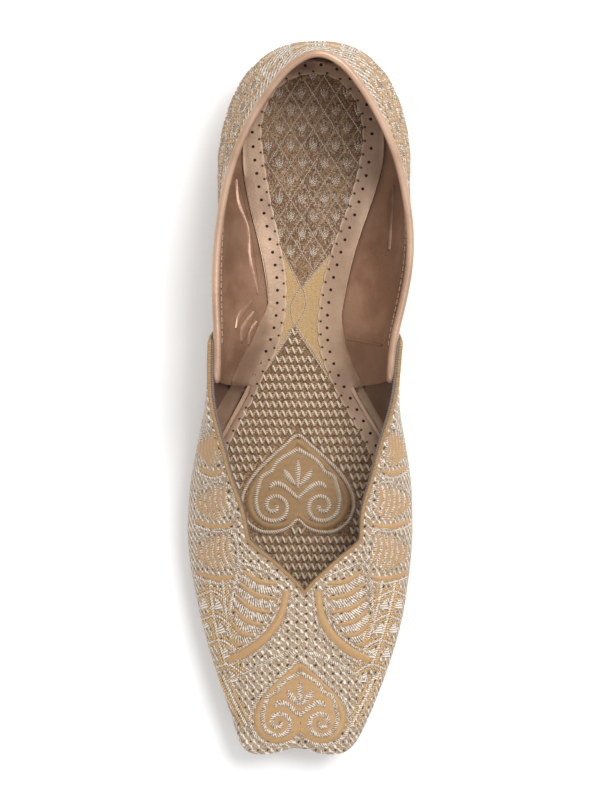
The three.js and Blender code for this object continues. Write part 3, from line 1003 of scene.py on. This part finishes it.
# %% [markdown]
# ## Edges
# The throat is cut raw: from outside in one sees a frayed gold edge of brocade, then the grey
# edge of the backing. The quarter's topline is turned in a strip of rose-gold leather instead.
# All three are tubes that follow the sheet's own boundary, so we walk that boundary from one
# corner to another and give each spot its surface normal.

# %% Walking a boundary
def boundary_run(sheet, start, end, through):
    """Spots (place, normal) on the sheet's boundary from start to end by way of through (mm)."""
    mesh = bmesh.new()
    mesh.from_mesh(sheet.data)
    mesh.normal_update()
    first = next(v for v in mesh.verts if v.is_boundary)
    loop, edge = [first], None
    while True:
        edge = next(e for e in loop[-1].link_edges if e.is_boundary and e is not edge)
        following = edge.other_vert(loop[-1])
        if following is first:
            break
        loop.append(following)
    places = [v.co.copy() for v in loop]
    normals = [v.normal.copy() for v in loop]
    mesh.free()

    def nearest(target):
        target = Vector(target) * MM
        return min(range(len(places)), key=lambda i: (places[i] - target).length)

    count = len(places)
    a, b, c = nearest(start), nearest(end), nearest(through)
    forward = (c - a) % count < (b - a) % count
    length = (b - a) % count if forward else (a - b) % count
    step = 1 if forward else -1
    return [(places[(a + step * k) % count], normals[(a + step * k) % count])
            for k in range(length + 1)]


def even_run(spots, step):
    """The same run at even steps (mm)."""
    result, carried = [spots[0]], 0.0
    for (p, n), (q, m) in zip(spots, spots[1:]):
        length = (q - p).length / MM
        while carried + length >= step and length:
            f = (step - carried) / length
            p, n = p.lerp(q, f), n.lerp(m, f).normalized()
            result.append((p, n))
            length = (q - p).length / MM
            carried = 0.0
        carried += length
    return result + [spots[-1]]


def inward_on_surface(spots, i):
    """Unit vector in the surface, square to the run, and the run's own direction."""
    before, after = spots[max(0, i - 1)][0], spots[min(len(spots) - 1, i + 1)][0]
    run = (after - before).normalized()
    return run.cross(spots[i][1]).normalized(), run


class Tubes(Trim):
    """Trim whose tubes follow spots in space."""

    def __init__(self):
        super().__init__(None)

    def tube(self, spots, radius, down=0.0, sides=8, flat=1.0):
        """A tube of radius mm along spots, moved down into the wall. flat squeezes it along the
        surface normal."""
        rows, length = [], 0.0
        for i, (place, normal) in enumerate(spots):
            side, _ = inward_on_surface(spots, i)
            centre_here = place - normal * (down * MM)
            ring = []
            for k in range(sides + 1):
                angle = 2 * math.pi * k / sides
                ring.append(centre_here + side * (radius * MM * math.cos(angle))
                            + normal * (radius * flat * MM * math.sin(angle)))
            if i:
                length += (place - spots[i - 1][0]).length / MM
            rows.append((ring, length))
        self.weave(rows, False)
        for row, _ in (rows[0], rows[-1]):
            self.cap(row[:-1], row is rows[-1][0])

    def cap(self, ring, at_end):
        base = len(self.vertices)
        self.vertices += ring
        face = list(range(base, base + len(ring)))
        self.faces.append(face if at_end else face[::-1])
        self.uvs += [(0.0, 0.5)] * len(ring)


# %% Raw edge of the throat and the wings
WING_FOOT_Y = 37.5
throat_run = even_run(boundary_run(vamp_sheet, (-11, WING_FOOT_Y, 10), (16, WING_FOOT_Y, 10),
                                   (1.5, -67.7, 36)), 0.7)
print("raw edge", round(sum((q[0] - p[0]).length for p, q in zip(throat_run, throat_run[1:]))
                        / MM), "mm long")
fray = Tubes()
fray.tube(throat_run, 0.72, down=0.5, sides=8)
fray.build("throat_raw_edge", thread["raw_edge"], "brocade")
grey = Tubes()
grey.tube(throat_run, 0.62, down=1.55, sides=8)
grey.build("throat_backing_edge", thread["dark_edge"], "rose_leather")

# %% Binding and stitches of the topline
BINDING_RADIUS = 1.5
STITCH_PITCH = 2.4
STITCH_LENGTH = 1.7
STITCH_DROP = 4.4           # how far below the topline the stitches lie, mm
topline = even_run(boundary_run(quarter_sheet, (-30, 4, 43), (33, 4, 43), (6, 121, 62)), 1.2)
binding = Tubes()
binding.tube(topline, BINDING_RADIUS, down=0.9, sides=12, flat=0.92)
binding.build("topline_binding", rose_leather, "rose_leather")

stitches = Tubes()
stitch_run = even_run(topline, STITCH_PITCH)
INNER_FACE = BROCADE + LINING
for i in range(6, len(stitch_run) - 6):
    place, normal = stitch_run[i]
    side, run = inward_on_surface(stitch_run, i)
    if side.z > 0:
        side = -side
    half = run * (STITCH_LENGTH / 2 * MM)
    seat = place - normal * (INNER_FACE * MM) + side * (STITCH_DROP * MM)
    nearest, outer_normal, _, _ = quarter_ground.tree.find_nearest(seat)
    seat = nearest - outer_normal * ((INNER_FACE + 0.15) * MM)
    stitches.tube([(seat - half, normal), (seat, normal), (seat + half, normal)], 0.3, sides=5)
stitches.build("topline_stitches", thread["leather_thread"], "rose_leather")

# %% [markdown]
# ## Creases of the lining
# The lining isn't glued flat. A long fold stands up on each side of the heel, a few short
# wrinkles lie at the waist on the outer side, and a seam crosses the inner side in front.

# %% Folds, wrinkles and the seam
FOLDS = [                   # width and lift (mm), then x, y and share of the width
    (1.6, 0.7, [(33.0, 75.2, 0.3), (32.0, 69, 1.2), (31.9, 61.7, 0.7), (31.3, 52.7, 0.6)]),
    (2.2, 0.8, [(-22.6, 77.8, 0.4), (-20.9, 70, 1.2), (-18.3, 60.4, 0.6), (-17.0, 50, 1.1),
                (-15.0, 37.5, 0.4)]),
    (3.0, 0.7, [(-20.6, 20.6, 0.3), (-19.2, 25, 1.2), (-16.4, 31.2, 0.3)]),
    (2.4, 0.6, [(-18.2, 19.6, 0.3), (-17.0, 24, 1.1), (-15.2, 27.8, 0.4)]),
    (2.2, 0.6, [(-22.6, 25.2, 0.3), (-20.6, 30.4, 1), (-17.0, 35.0, 0.4)]),
    (0.9, 0.4, [(16.8, 21.6, 1), (22.4, 20.6, 1), (28.6, 19.2, 1)]),
]
lining_ground = Ground(quarter_inside)
folds = Trim(lining_ground.from_above)
for width, lift, fold in FOLDS:
    folds.ribbon(fold, width, lift, across=6, step=1.0)
folds.build("lining_folds", lining_leather, "rose_leather")

# %% [markdown]
# ## Insole
# A mojari's insole is a padded board under a panel of brocade, with a strip of leather laid round
# its rim. The board is the frame's own solid, made smooth. Its panel has three parts: a diamond
# lattice under the heel, plain gold satin at the waist, and rows of slanted stitches under the
# toes with a heart among them.

# %% Smooth copy of a solid
def smooth_copy(name, crease=0.75, levels=2, limit=32):
    """A subdivided copy of a node, whose sharp edges stay fairly sharp."""
    copy = copy_of_node(name)
    mesh = bmesh.new()
    mesh.from_mesh(copy.data)
    layer = mesh.edges.layers.float.new("crease_edge")
    for edge in mesh.edges:
        if edge.calc_face_angle(0) > math.radians(limit):
            edge[layer] = crease
    mesh.to_mesh(copy.data)
    mesh.free()
    add_modifier(copy, "SUBSURF", levels=levels, render_levels=levels)
    return copy


# %% Panel material
WAIST_CROSSING = (-1.9, 25.9)   # where the lattice ends and the stitched field begins, mm
LATTICE_END = (0.6, 39.5)       # lower tip of the lattice, mm
FIELD_SLOPE = 1.5
LEFT_SLANT, RIGHT_SLANT = 1.9, 1.2      # rise of the lattice's two lower edges


def make_sock_print():
    material, n, shader = new_material("sock_print", 0.5, 0.3)
    place = n.place()
    parts = n.add("ShaderNodeSeparateXYZ", [place]).outputs
    x = n.math("DIVIDE", parts[0], MM)
    y = n.math("DIVIDE", parts[1], MM)
    left = n.math("MULTIPLY", n.math("SUBTRACT", LATTICE_END[0], x), LEFT_SLANT)
    right = n.math("MULTIPLY", n.math("SUBTRACT", x, LATTICE_END[0]), RIGHT_SLANT)
    vee = n.math("ADD", n.math("MAXIMUM", left, right), LATTICE_END[1])
    rear = n.step(n.math("SUBTRACT", y, vee), -0.3, 0.3)
    off = n.math("ABSOLUTE", n.math("SUBTRACT", x, WAIST_CROSSING[0]))
    roof = n.math("SUBTRACT", WAIST_CROSSING[1], n.math("MULTIPLY", off, FIELD_SLOPE))
    field = n.step(n.math("SUBTRACT", roof, y), -0.3, 0.3)
    # flecks lean with the lattice; the satin is a fine warp
    leaning = n.add("ShaderNodeMapping", {"Vector": place, "Rotation": (0, 0, 0.5),
                                          "Scale": (1.0, 0.55, 1.0)}).outputs[0]
    fleck = n.noise(leaning, 1900, 2, 0.6)
    fine = n.noise(place, 2000, 2, 0.6)
    slow = n.noise(place, 90, 2)
    # painted shade: the print's colours are set about a fifth darker than lit cloth, for the shade
    # inside the shoe, darkest in the lattice under the heel
    shaded_brown = n.mix(n.step(slow, 0.4, 0.6), rgb(112, 80, 52), rgb(132, 100, 68))
    rear_tone = n.mix(n.step(fleck, 0.5, 0.64), shaded_brown, rgb(166, 144, 120))
    rear_tone = n.mix(n.step(fine, 0.48, 0.36), rear_tone, rgb(58, 40, 26))
    warp = n.math("MULTIPLY_ADD", n.math("SINE", n.math("MULTIPLY", x, 14.0)), 0.5, 0.5)
    satin_tone = n.mix(n.math("MULTIPLY", warp, fine), rgb(182, 152, 108), rgb(154, 122, 82))
    field_tone = n.mix(n.step(fine, 0.35, 0.65), rgb(70, 50, 34), rgb(150, 118, 84))
    colour = n.mix(rear, satin_tone, rear_tone)
    colour = n.mix(field, colour, field_tone)
    n.plug(shader.inputs["Base Color"], colour)
    height = n.math("ADD", n.math("MULTIPLY", fine, 0.7), n.math("MULTIPLY", warp, 0.2))
    n.plug(shader.inputs["Normal"], n.bump(height, 0.3 * MM))
    return material


sock_print = make_sock_print()
pad = finish_piece(smooth_copy("insole"), "insole_pad", sock_print, 50)
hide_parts("insole")
pad_ground = Ground(pad)

# %% [markdown]
# The leather strip is punched: a round hole in each scallop and a small prick in each notch. We
# model one scallop flat, as a patch with a ring of points round its hole, and repeat it along the
# inner edge. Each point is then dropped on the board from above. Solidify gives the strip its
# thickness, and a near-black sheet under it, seen through the holes, is their painted shade.

# %% Inner edge of the strip
INNER_EDGE = [              # plan points from the left of the toes round the heel (mm)
    (-20, -84), (-26, -70), (-29, -50), (-28.2, -27), (-25, -16.1), (-21.6, -9.1), (-16.9, -0.4),
    (-13.2, 8), (-9, 16.3), (-6.1, 24.8), (-4.8, 34.4), (-5.1, 45), (-7.3, 57), (-10.1, 70),
    (-12.4, 84), (-13.4, 96), (-10.6, 106), (-4, 112.6), (5, 115), (13.4, 112.6), (19.6, 105),
    (22, 94), (20.2, 80.7), (16.5, 67.6), (13, 58.4), (10, 49), (7.5, 39), (6.3, 28),
    (6.8, 19), (9.4, 10.4), (12.9, 2.8), (18.8, -7.7), (22.3, -14.1), (26.6, -26), (29, -46),
    (26, -70), (20, -84),
]
SCALLOP = 4.7               # length of a scallop, mm
NOTCH = 0.6                 # depth of a notch, mm
PRICK_FROM_NOTCH = 0.45
HOLE_FROM_EDGE = 3.4
HOLE_RADIUS = 0.58
HOLE_FIELD_END = 4.6        # beyond this the strip is plain, mm from its inner edge
STRIP_LIFT = 0.55
STRIP_THICKNESS = 0.6


def even_plan(points, step):
    """The curve through plan points, at exactly even steps."""
    fine = smooth_path(points, 0.5)
    result, carried = [tuple(fine[0])], 0.0
    for (x, y), (a, b) in zip(fine, fine[1:]):
        length = math.hypot(a - x, b - y)
        while length and carried + length >= step:
            f = (step - carried) / length
            x, y = x + (a - x) * f, y + (b - y) * f
            result.append((x, y))
            length, carried = math.hypot(a - x, b - y), 0.0
        carried += length
    return result


COLUMNS = 8                 # columns of the patch along one scallop
LEAST_REACH = 5.6           # the rim is looked for from here outwards, mm
STEEP = 0.45                # a normal whose z is less belongs to the board's side
inner_path = even_plan(INNER_EDGE, SCALLOP / COLUMNS)


def outward(i):
    run = run_at(inner_path, i, reach=4)
    return Vector((-run.y, run.x))


def width_to_rim(i, most=11.5):
    """How far the board's upper face goes on outwards from the inner edge (mm)."""
    x, y = inner_path[i]
    side = outward(i)
    reach = LEAST_REACH
    while reach < most:
        found = pad_ground.from_above(x + side.x * reach, y + side.y * reach)
        if found is None or found[1].z < STEEP:
            break
        reach += 0.2
    return reach - 0.3


CLIMB_WIDTH = 9.4           # width of the strip where it climbs the walls at the waist, mm


def strip_width(i):
    y = inner_path[i][1]
    climb = smooth_between(y, -34, -14) * (1 - smooth_between(y, 22, 38))
    rim = width_to_rim(i)
    return rim + (max(rim, CLIMB_WIDTH) - rim) * climb


widths = [strip_width(i) for i in range(len(inner_path))]
near = [widths[max(0, i - 6):i + 7] for i in range(len(widths))]
widths = [sum(part) / len(part) for part in near]
print("strip", round(min(widths), 1), "to", round(max(widths), 1), "mm wide")


# %% Strip
CAVITY_HEIGHT = 26          # height from which the strip is dropped, inside the shoe, mm
DOWN = Vector((0, 0, -1))
strip_ground = Ground(pad, vamp_inside, quarter_inside)
STENCIL = ((0, 0), (1.3, 0), (-1.3, 0), (0, 1.3), (0, -1.3))    # places of the hits, mm


def in_the_shoe(x, y):
    """The mean of a few hits round a plan point, so that leather bridges small hollows."""
    hits = [strip_ground.hit(Vector(((x + a) * MM, (y + b) * MM, CAVITY_HEIGHT * MM)), DOWN)
            for a, b in STENCIL]
    hits = [found for found in hits if found is not None]
    if not hits:
        return None
    height = sum(spot.z for spot, _ in hits) / len(hits)
    normal = sum((normal for _, normal in hits), Vector()).normalized()
    return Vector((x * MM, y * MM, height)), normal


def on_strip(i, across, lift):
    """Point of the strip over the inner path's spot i, across mm outwards."""
    x, y = inner_path[i]
    side = outward(i)
    for reach in (across, across - 0.4, across - 1):
        found = in_the_shoe(x + side.x * reach, y + side.y * reach)
        if found is not None:
            return found[0] + found[1] * (lift * MM)
    return None


def strip_patch(mesh, uv, first):
    """One scallop, from the inner path's spot first on."""
    def grid_point(k, row):
        i = first + k
        near = NOTCH * (1 - math.sin(math.pi * k / COLUMNS)) ** 1.5
        far = widths[i]
        rest = far - HOLE_FIELD_END
        across = (near, 1.2, 2.2, HOLE_FROM_EDGE, HOLE_FIELD_END, HOLE_FIELD_END + rest * 0.35,
                  HOLE_FIELD_END + rest * 0.75, far)[row]
        spot = on_strip(i, across, STRIP_LIFT)
        return None if spot is None else (mesh.verts.new(spot), (k / COLUMNS, across))

    rows = 8
    grid = [[grid_point(k, row) for row in range(rows)] for k in range(COLUMNS + 1)]
    if any(corner is None for column in grid for corner in column):
        print("no ground under the scallop at", [round(v) for v in inner_path[first]])
        return

    def face(corners):
        made = mesh.faces.new([vert for vert, _ in corners])
        for loop, (_, (along, across)) in zip(made.loops, corners):
            loop[uv].uv = ((along + first / COLUMNS) * SCALLOP * UV_SCALE, across * UV_SCALE)

    for k in range(COLUMNS):
        for row in range(rows - 1):
            if 2 <= k < 6 and 2 <= row < 4:
                continue
            face([grid[k][row], grid[k][row + 1], grid[k + 1][row + 1], grid[k + 1][row]])
    # the ring of faces between the hole and the patch's own grid
    border = ([(k, 2) for k in range(2, 6)] + [(6, 2), (6, 3)] + [(k, 4) for k in range(6, 2, -1)]
              + [(2, 4), (2, 3)])
    middle, _ = grid[4][3]
    centre_here = middle.co.copy()
    ring = []
    for k, row in border:
        vert, (along, across) = grid[k][row]
        away = (vert.co - centre_here).normalized() * (HOLE_RADIUS * MM)
        ring.append((mesh.verts.new(centre_here + away),
                     (0.5 + (along - 0.5) * 0.5,
                      HOLE_FROM_EDGE + (across - HOLE_FROM_EDGE) * 0.5)))
    for j, (k, row) in enumerate(border):
        following = (j + 1) % len(border)
        k2, row2 = border[following]
        face([grid[k][row], ring[j], ring[following], grid[k2][row2]])


def make_strip():
    mesh = bmesh.new()
    uv = mesh.loops.layers.uv.new("cloth")
    for first in range(0, len(inner_path) - COLUMNS, COLUMNS):
        strip_patch(mesh, uv, first)
    bmesh.ops.remove_doubles(mesh, verts=mesh.verts, dist=0.01 * MM)
    bmesh.ops.delete(mesh, geom=[v for v in mesh.verts if not v.link_faces], context="VERTS")
    mesh.normal_update()
    upright = sum(face.normal.z for face in mesh.faces)
    if upright < 0:
        bmesh.ops.reverse_faces(mesh, faces=mesh.faces)
    data = bpy.data.meshes.new("insole_strip")
    mesh.to_mesh(data)
    mesh.free()
    strip = new_object("insole_strip", data)
    add_modifier(strip, "SOLIDIFY", thickness=STRIP_THICKNESS * MM, offset=-1)
    return strip


# %% Punched leather, and a dark sheet that paints the shade in its holes
def make_strip_leather():
    material, n, shader = new_material("strip_leather", 0.46, 0.25)
    skin = use_group(n, leather_group, Scale=1100)
    _, u, v = n.cloth()
    along = n.math("PINGPONG", n.math("DIVIDE", u, UV_SCALE), SCALLOP / 2)
    across = n.math("DIVIDE", v, UV_SCALE)
    off = n.math("SUBTRACT", across, NOTCH + PRICK_FROM_NOTCH)
    prick = n.invert(n.step(n.hypotenuse(along, off), 0.28, 0.5))
    # painted shade: both tones are set darker than the same leather on the binding, standing in
    # for the shade inside the shoe
    colour = n.mix(n.step(skin["Tone"], 0.35, 0.65), rgb(138, 110, 90), rgb(166, 138, 114))
    # painted highlight: a lighter band along the scalloped inner edge, where the strip's rim
    # catches the light
    edge = n.invert(n.step(across, 0.2, 0.9))
    colour = n.mix(n.math("MULTIPLY", edge, 0.5), colour, rgb(206, 180, 154))
    n.plug(shader.inputs["Base Color"], n.mix(prick, colour, rgb(40, 26, 18)))
    relief = n.math("SUBTRACT", n.math("MULTIPLY", skin["Height"], 0.35), prick)
    n.plug(shader.inputs["Normal"], n.bump(relief, 0.14 * MM))
    return material


strip_leather = make_strip_leather()
# painted shade: a near-black felt sheet under the strip, seen only through its holes, stands for
# the shade inside them
hole_shade_felt = leather("hole_shade_felt", rgb(34, 24, 18), rgb(20, 14, 10), 0.9, 0.0, 2000, 0.2)
strip = finish_piece(make_strip(), "insole_strip", strip_leather, 60)
felt = Trim(in_the_shoe)
hole_shade_line = []
for i in range(4, len(inner_path) - COLUMNS, COLUMNS // 2):
    x, y = inner_path[i]
    side = outward(i)
    hole_shade_line.append((x + side.x * HOLE_FROM_EDGE, y + side.y * HOLE_FROM_EDGE))
felt.ribbon(hole_shade_line, 1.7, 0.2, across=4, sink=0.0)
felt.build("strip_hole_shade", hole_shade_felt, "rose_leather")

# %% [markdown]
# The panel's threads lie over its print. The lattice is two sets of slanted cords that cross, with
# a small leaf in each diamond. The stitched field repeats one zigzag of two slanted stitches in
# rows. Each thread is kept only where its middle falls inside its own zone, so one plain repeat
# fills an odd shape.

# %% Zones of the panel
def inside(loop, x, y):
    """Whether a plan point lies inside a closed loop of points."""
    odd = False
    for (ax, ay), (bx, by) in zip(loop, loop[1:] + loop[:1]):
        if (ay > y) != (by > y) and x < ax + (y - ay) * (bx - ax) / (by - ay):
            odd = not odd
    return odd


panel_loop = inner_path[::4]
HEART_AT = (-0.8, -30.8)
HEART_SCALE = 1.13


def in_panel(x, y):
    return inside(panel_loop, x, y)


def in_lattice(x, y):
    off = x - LATTICE_END[0]
    return in_panel(x, y) and y > LATTICE_END[1] + max(-LEFT_SLANT * off, RIGHT_SLANT * off)


def in_field(x, y):
    roof = WAIST_CROSSING[1] - FIELD_SLOPE * abs(x - WAIST_CROSSING[0])
    return in_panel(x, y) and y < roof - 1.5 and not inside(sock_heart, x, y)


def kept_runs(points, keep, least=3):
    """The parts of a fine path that lie in a zone, each as a path of its own."""
    runs, run = [], []
    for point in points:
        if keep(*point[:2]):
            run.append(point)
        else:
            if len(run) >= least:
                runs.append(run)
            run = []
    return runs + ([run] if len(run) >= least else [])


# %% The board's leather rim
pad.data.materials.append(rose_leather)
for polygon in pad.data.polygons:
    x, y, _ = polygon.center / MM
    if polygon.normal.z < 0.5 or not inside(panel_loop, x * 0.93 + 0.2, y - 1.5):
        polygon.material_index = 1

# %% Lattice
DIAMOND = (8.0, 12.5)       # width and height of a diamond, mm
sock_heart = heart_loop(*HEART_AT, HEART_SCALE * 1.12)
sock_silver, sock_satin, sock_lattice = (Trim(pad_ground.from_above) for _ in range(3))
slope = DIAMOND[1] / DIAMOND[0]
tip_x, tip_y = LATTICE_END
for side in (-1, 1):
    for k in range(-3, 10):
        line = [(tip_x + side * (t - k * DIAMOND[0] / 2), tip_y + slope * t + k * DIAMOND[1] / 2)
                for t in range(-30, 60)]
        for run in kept_runs(line, in_lattice):
            sock_lattice.ribbon(run, 0.85, 0.4, across=2, step=2.5)
for row in range(1, 13):
    for column in range(-4, 5):
        x = tip_x + (column + (row % 2) / 2) * DIAMOND[0]
        y = tip_y + (row + 1) * DIAMOND[1] / 2
        if in_lattice(x, y):
            for lean, reach in ((-1, 2.3), (0, 3.2), (1, 2.3)):
                leaf = [(x - lean * 0.2, y - 2.0, 0.4), (x + lean * 0.9, y + 0.2, 1.1),
                        (x + lean * 1.3, y + reach, 0.3)]
                sock_lattice.ribbon(leaf, 1.25, 0.45, across=2, step=1.2)

# %% Waist and the edges of the zones
crossing_x, crossing_y = WAIST_CROSSING
for side in (-1, 1):
    for shift in (-0.7, 0.7):
        roof = [(crossing_x + side * (t + 0.3), crossing_y - FIELD_SLOPE * t + shift)
                for t in range(0, 14)]
        for run in kept_runs(roof, in_panel):
            sock_lattice.ribbon(run, 0.8, 0.4, across=2)
    waist = [(tip_x + side * 0.2, tip_y + 1), (tip_x + side * 2.6 - 1.2, tip_y - 6),
             (crossing_x + side * 0.3, crossing_y)]
    sock_lattice.ribbon(waist, 0.9, 0.4, across=2)
for side, slant in ((-1, LEFT_SLANT), (1, RIGHT_SLANT)):
    rim = [(tip_x + side * t, tip_y + slant * t) for t in range(0, 14)]
    for run in kept_runs(rim, in_panel):
        sock_lattice.ribbon(run, 0.9, 0.4, across=2)

# %% Stitched field
ROW_PITCH = 3.2
ZIGZAG = 2.3
sock_pale, sock_tan = (Trim(pad_ground.from_above) for _ in range(2))
for row in range(30):
    y = 24.0 - row * ROW_PITCH
    for column in range(-14, 15):
        x = crossing_x + (column + (row % 2) * 0.5) * ZIGZAG
        if not in_field(x, y) or y < -74:
            continue
        sock_pale.ribbon([(x - 1.05, y + 1.3, 0.5), (x - 0.5, y + 0.2, 1.1),
                          (x + 0.1, y - 1.1, 0.6)], 1.05, 0.75, across=3, step=1.2)
        sock_tan.ribbon([(x + 0.15, y - 1.0, 0.6), (x + 0.7, y + 0.2, 1.1),
                         (x + 1.25, y + 1.3, 0.5)], 1.1, 0.6, across=3, step=1.2)

# %% Heart of the insole
draw_heart(sock_satin, sock_silver, *HEART_AT, HEART_SCALE)
sock_satin.build("insole_satin", thread["sock_gold_shaded"], "brocade")
sock_silver.build("insole_silver_threads", thread["sock_silver_shaded"], "brocade")
sock_lattice.build("insole_lattice", thread["silver_cord"], "brocade")
sock_tan.build("insole_tan_stitches", thread["sock_tan_thread"], "brocade")
sock_pale.build("insole_pale_stitches", thread["pale_stitch"], "brocade")

# %% [markdown]
# ## Outsole
# A moulded rubber sole has its tread sunk inside a plain rim. The moulding is the frame's own
# solid made smooth. The ribs are laid into its recess from below, as low bands that stay level
# with the rim: fine straight ribs in the middle, waves in two leaf-shaped fields, a plain waist
# with a small blank plate, and broad ribs under the heel.

# %% Moulding
sole = finish_piece(smooth_copy("outsole", crease=0.85), "outsole_moulding", sole_rubber,
                    40)
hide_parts("outsole")
sole_ground = Ground(sole)
tread = Trim(sole_ground.from_below, flip=True)


def recess_span(y, margin=1.5):
    """Where the tread's recess begins and ends across the sole at y (mm), or None."""
    levels = []
    for k in range(-90, 91):
        found = sole_ground.from_below(k * 0.5, y)
        if found is not None:
            levels.append((k * 0.5, found[0].z / MM))
    if not levels:
        return None
    floor_level = min(z for _, z in levels)
    deep = [x for x, z in levels if 0.75 < z - floor_level < 1.6]
    if len(deep) < 6:
        return None
    return min(deep) + margin, max(deep) - margin


# %% Fields of the forefoot
INNER_LEAF = [(23.0, -98), (12.8, -84), (5.2, -70), (2.5, -57.6), (3.9, -48.9), (7.6, -38.7),
              (15.8, -26.9), (25.5, -18.2)]
OUTER_LEAF = [(-24.0, -89.8), (-18.6, -81.2), (-14.5, -75), (-11.2, -66.2), (-9.7, -56),
              (-10.7, -46.6), (-13.5, -35.5), (-19.5, -24.5), (-26.4, -14.3)]
DIAGONAL = [(-24.0, -89.8), (2.7, -49.7)]
TOE_LINE = [(-20.5, -100.2), (19.5, -104.6)]
WAIST_LINE = [(-11.5, 6.4), (12.5, 4.8)]
RIB_PITCH = 1.6
WAVE_PITCH = 3.5
WAVE_LENGTH = 12
WAVE_HEIGHT = 1.1
CHANNEL = 1.3               # half the width left free along a field's edge, mm
CHANNEL_RAIL = 0.75         # each of a channel's two thin ribs lies this far from its middle, mm
RIB_SINK = 0.1
RIBS_FROM, WAVES_FROM, HEEL_FROM = -105, -98, 74.2      # y of the first rib of each kind, mm


def off_line(points, x, y):
    """Distance from a plan point to a path (mm)."""
    spot = Vector((x, y))
    best = math.inf
    for a, b in zip(points, points[1:]):
        a, b = Vector(a[:2]), Vector(b[:2])
        f = max(0, min(1, (spot - a).dot(b - a) / (b - a).length_squared))
        best = min(best, (spot - a.lerp(b, f)).length)
    return best


inner_rim = [tuple(p) for p in smooth_path(INNER_LEAF, 2)]
outer_rim = [tuple(p) for p in smooth_path(OUTER_LEAF, 2)]
inner_field = inner_rim + [(45, -18), (45, -98)]
outer_field = outer_rim + [(-45, -14), (-45, -90)]


def ahead_of(line, x, y):
    """Whether a point lies on the toe's side of a line that crosses the sole."""
    (start_x, start_y), (end_x, end_y) = line
    return y < start_y + (end_y - start_y) * (x - start_x) / (end_x - start_x)


def free_of_channels(x, y):
    return all(off_line(line, x, y) > CHANNEL for line in (inner_rim, outer_rim, DIAGONAL))


def in_recess(x, y):
    span = spans.get(round(y))
    return span is not None and span[0] < x < span[1] and free_of_channels(x, y)


def in_a_leaf(x, y):
    return inside(inner_field, x, y) or inside(outer_field, x, y)


def on_straight_ribs(x, y):
    return (in_recess(x, y) and not in_a_leaf(x, y)
            and not ahead_of(TOE_LINE, x, y - 0.8) and ahead_of(WAIST_LINE, x, y + 0.8))


def on_waves(x, y):
    return in_recess(x, y) and in_a_leaf(x, y)


spans = {y: recess_span(y) for y in range(-122, 122)}

# %% Ribs of the forefoot
def rib(points, width, lift, **how):
    tread.ribbon(points, width, lift, sink=RIB_SINK, **how)


for row in range(72):
    y = RIBS_FROM + row * RIB_PITCH
    for run in kept_runs([(x * 0.8, y) for x in range(-50, 51)], on_straight_ribs):
        rib([run[0], run[-1]], 0.95, 0.75, across=2, step=2.4, curved=False)
for row in range(26):
    y = WAVES_FROM + row * WAVE_PITCH
    wave = [(x * 0.8, y + WAVE_HEIGHT * math.cos(2 * math.pi * (x * 0.8 - 1) / WAVE_LENGTH))
            for x in range(-50, 51)]
    for run in kept_runs(wave, on_waves):
        rib(run, 2.1, 0.8, across=4, step=1.6)
for line in (inner_rim, outer_rim):
    for shift in (-CHANNEL_RAIL, CHANNEL_RAIL):
        rib(beside(line[1:-1], shift), 0.6, 0.7, across=2, step=2)
for line in (DIAGONAL, TOE_LINE, WAIST_LINE):
    for shift in (-CHANNEL_RAIL, CHANNEL_RAIL):
        rib([(x, y + shift) for x, y in line], 0.6, 0.7, across=2, step=2, curved=False)

# %% Toe panel, waist plate and heel
TOE_PANEL = [               # x, y and half the width (mm)
    (-0.9, -118.6, 15.5), (-0.9, -117, 16.5), (-0.9, -112, 18.6), (-0.9, -106, 20.4),
    (-0.9, -104.4, 20.8),
]
rib([(x, y, half * 2) for x, y, half in TOE_PANEL], 1.0, 0.6, across=12, step=1.2, plate=True)
PLATE_MIDDLE = (2.0, 59.0)
PLATE_HALF = (10.0, 4.6)
rib(box_loop(*PLATE_MIDDLE, PLATE_HALF, (0.9, 0.8)), 1.1, 0.6, across=4, closed=True, step=0.7)
lozenge = [(PLATE_MIDDLE[0] + a, PLATE_MIDDLE[1] + b)
           for a, b in ((-3.4, 0), (0, -1.9), (3.4, 0), (0, 1.9), (-3.4, 0))]
rib(lozenge, 0.7, 0.45, across=3, curved=False, step=0.8)
HEEL_PITCH = 2.3
for row in range(20):
    y = HEEL_FROM + row * HEEL_PITCH
    span = spans.get(round(y))
    if span is not None:
        rib([(span[0] + 0.2, y), (span[1] - 0.2, y)], 1.55, 0.85, across=4, step=3,
            curved=False)
LOWEST = 0.05               # the tread keeps this far above the floor, mm
tread.vertices = [Vector((v.x, v.y, max(v.z, LOWEST * MM))) for v in tread.vertices]
tread.build("outsole_tread", sole_rubber, "sole_rubber")

# %% [markdown]
# ## Finish
# The two sheets that the layers were cut from are removed.

# %% Finish
for sheet in (vamp_sheet, quarter_sheet):
    bpy.data.objects.remove(sheet)
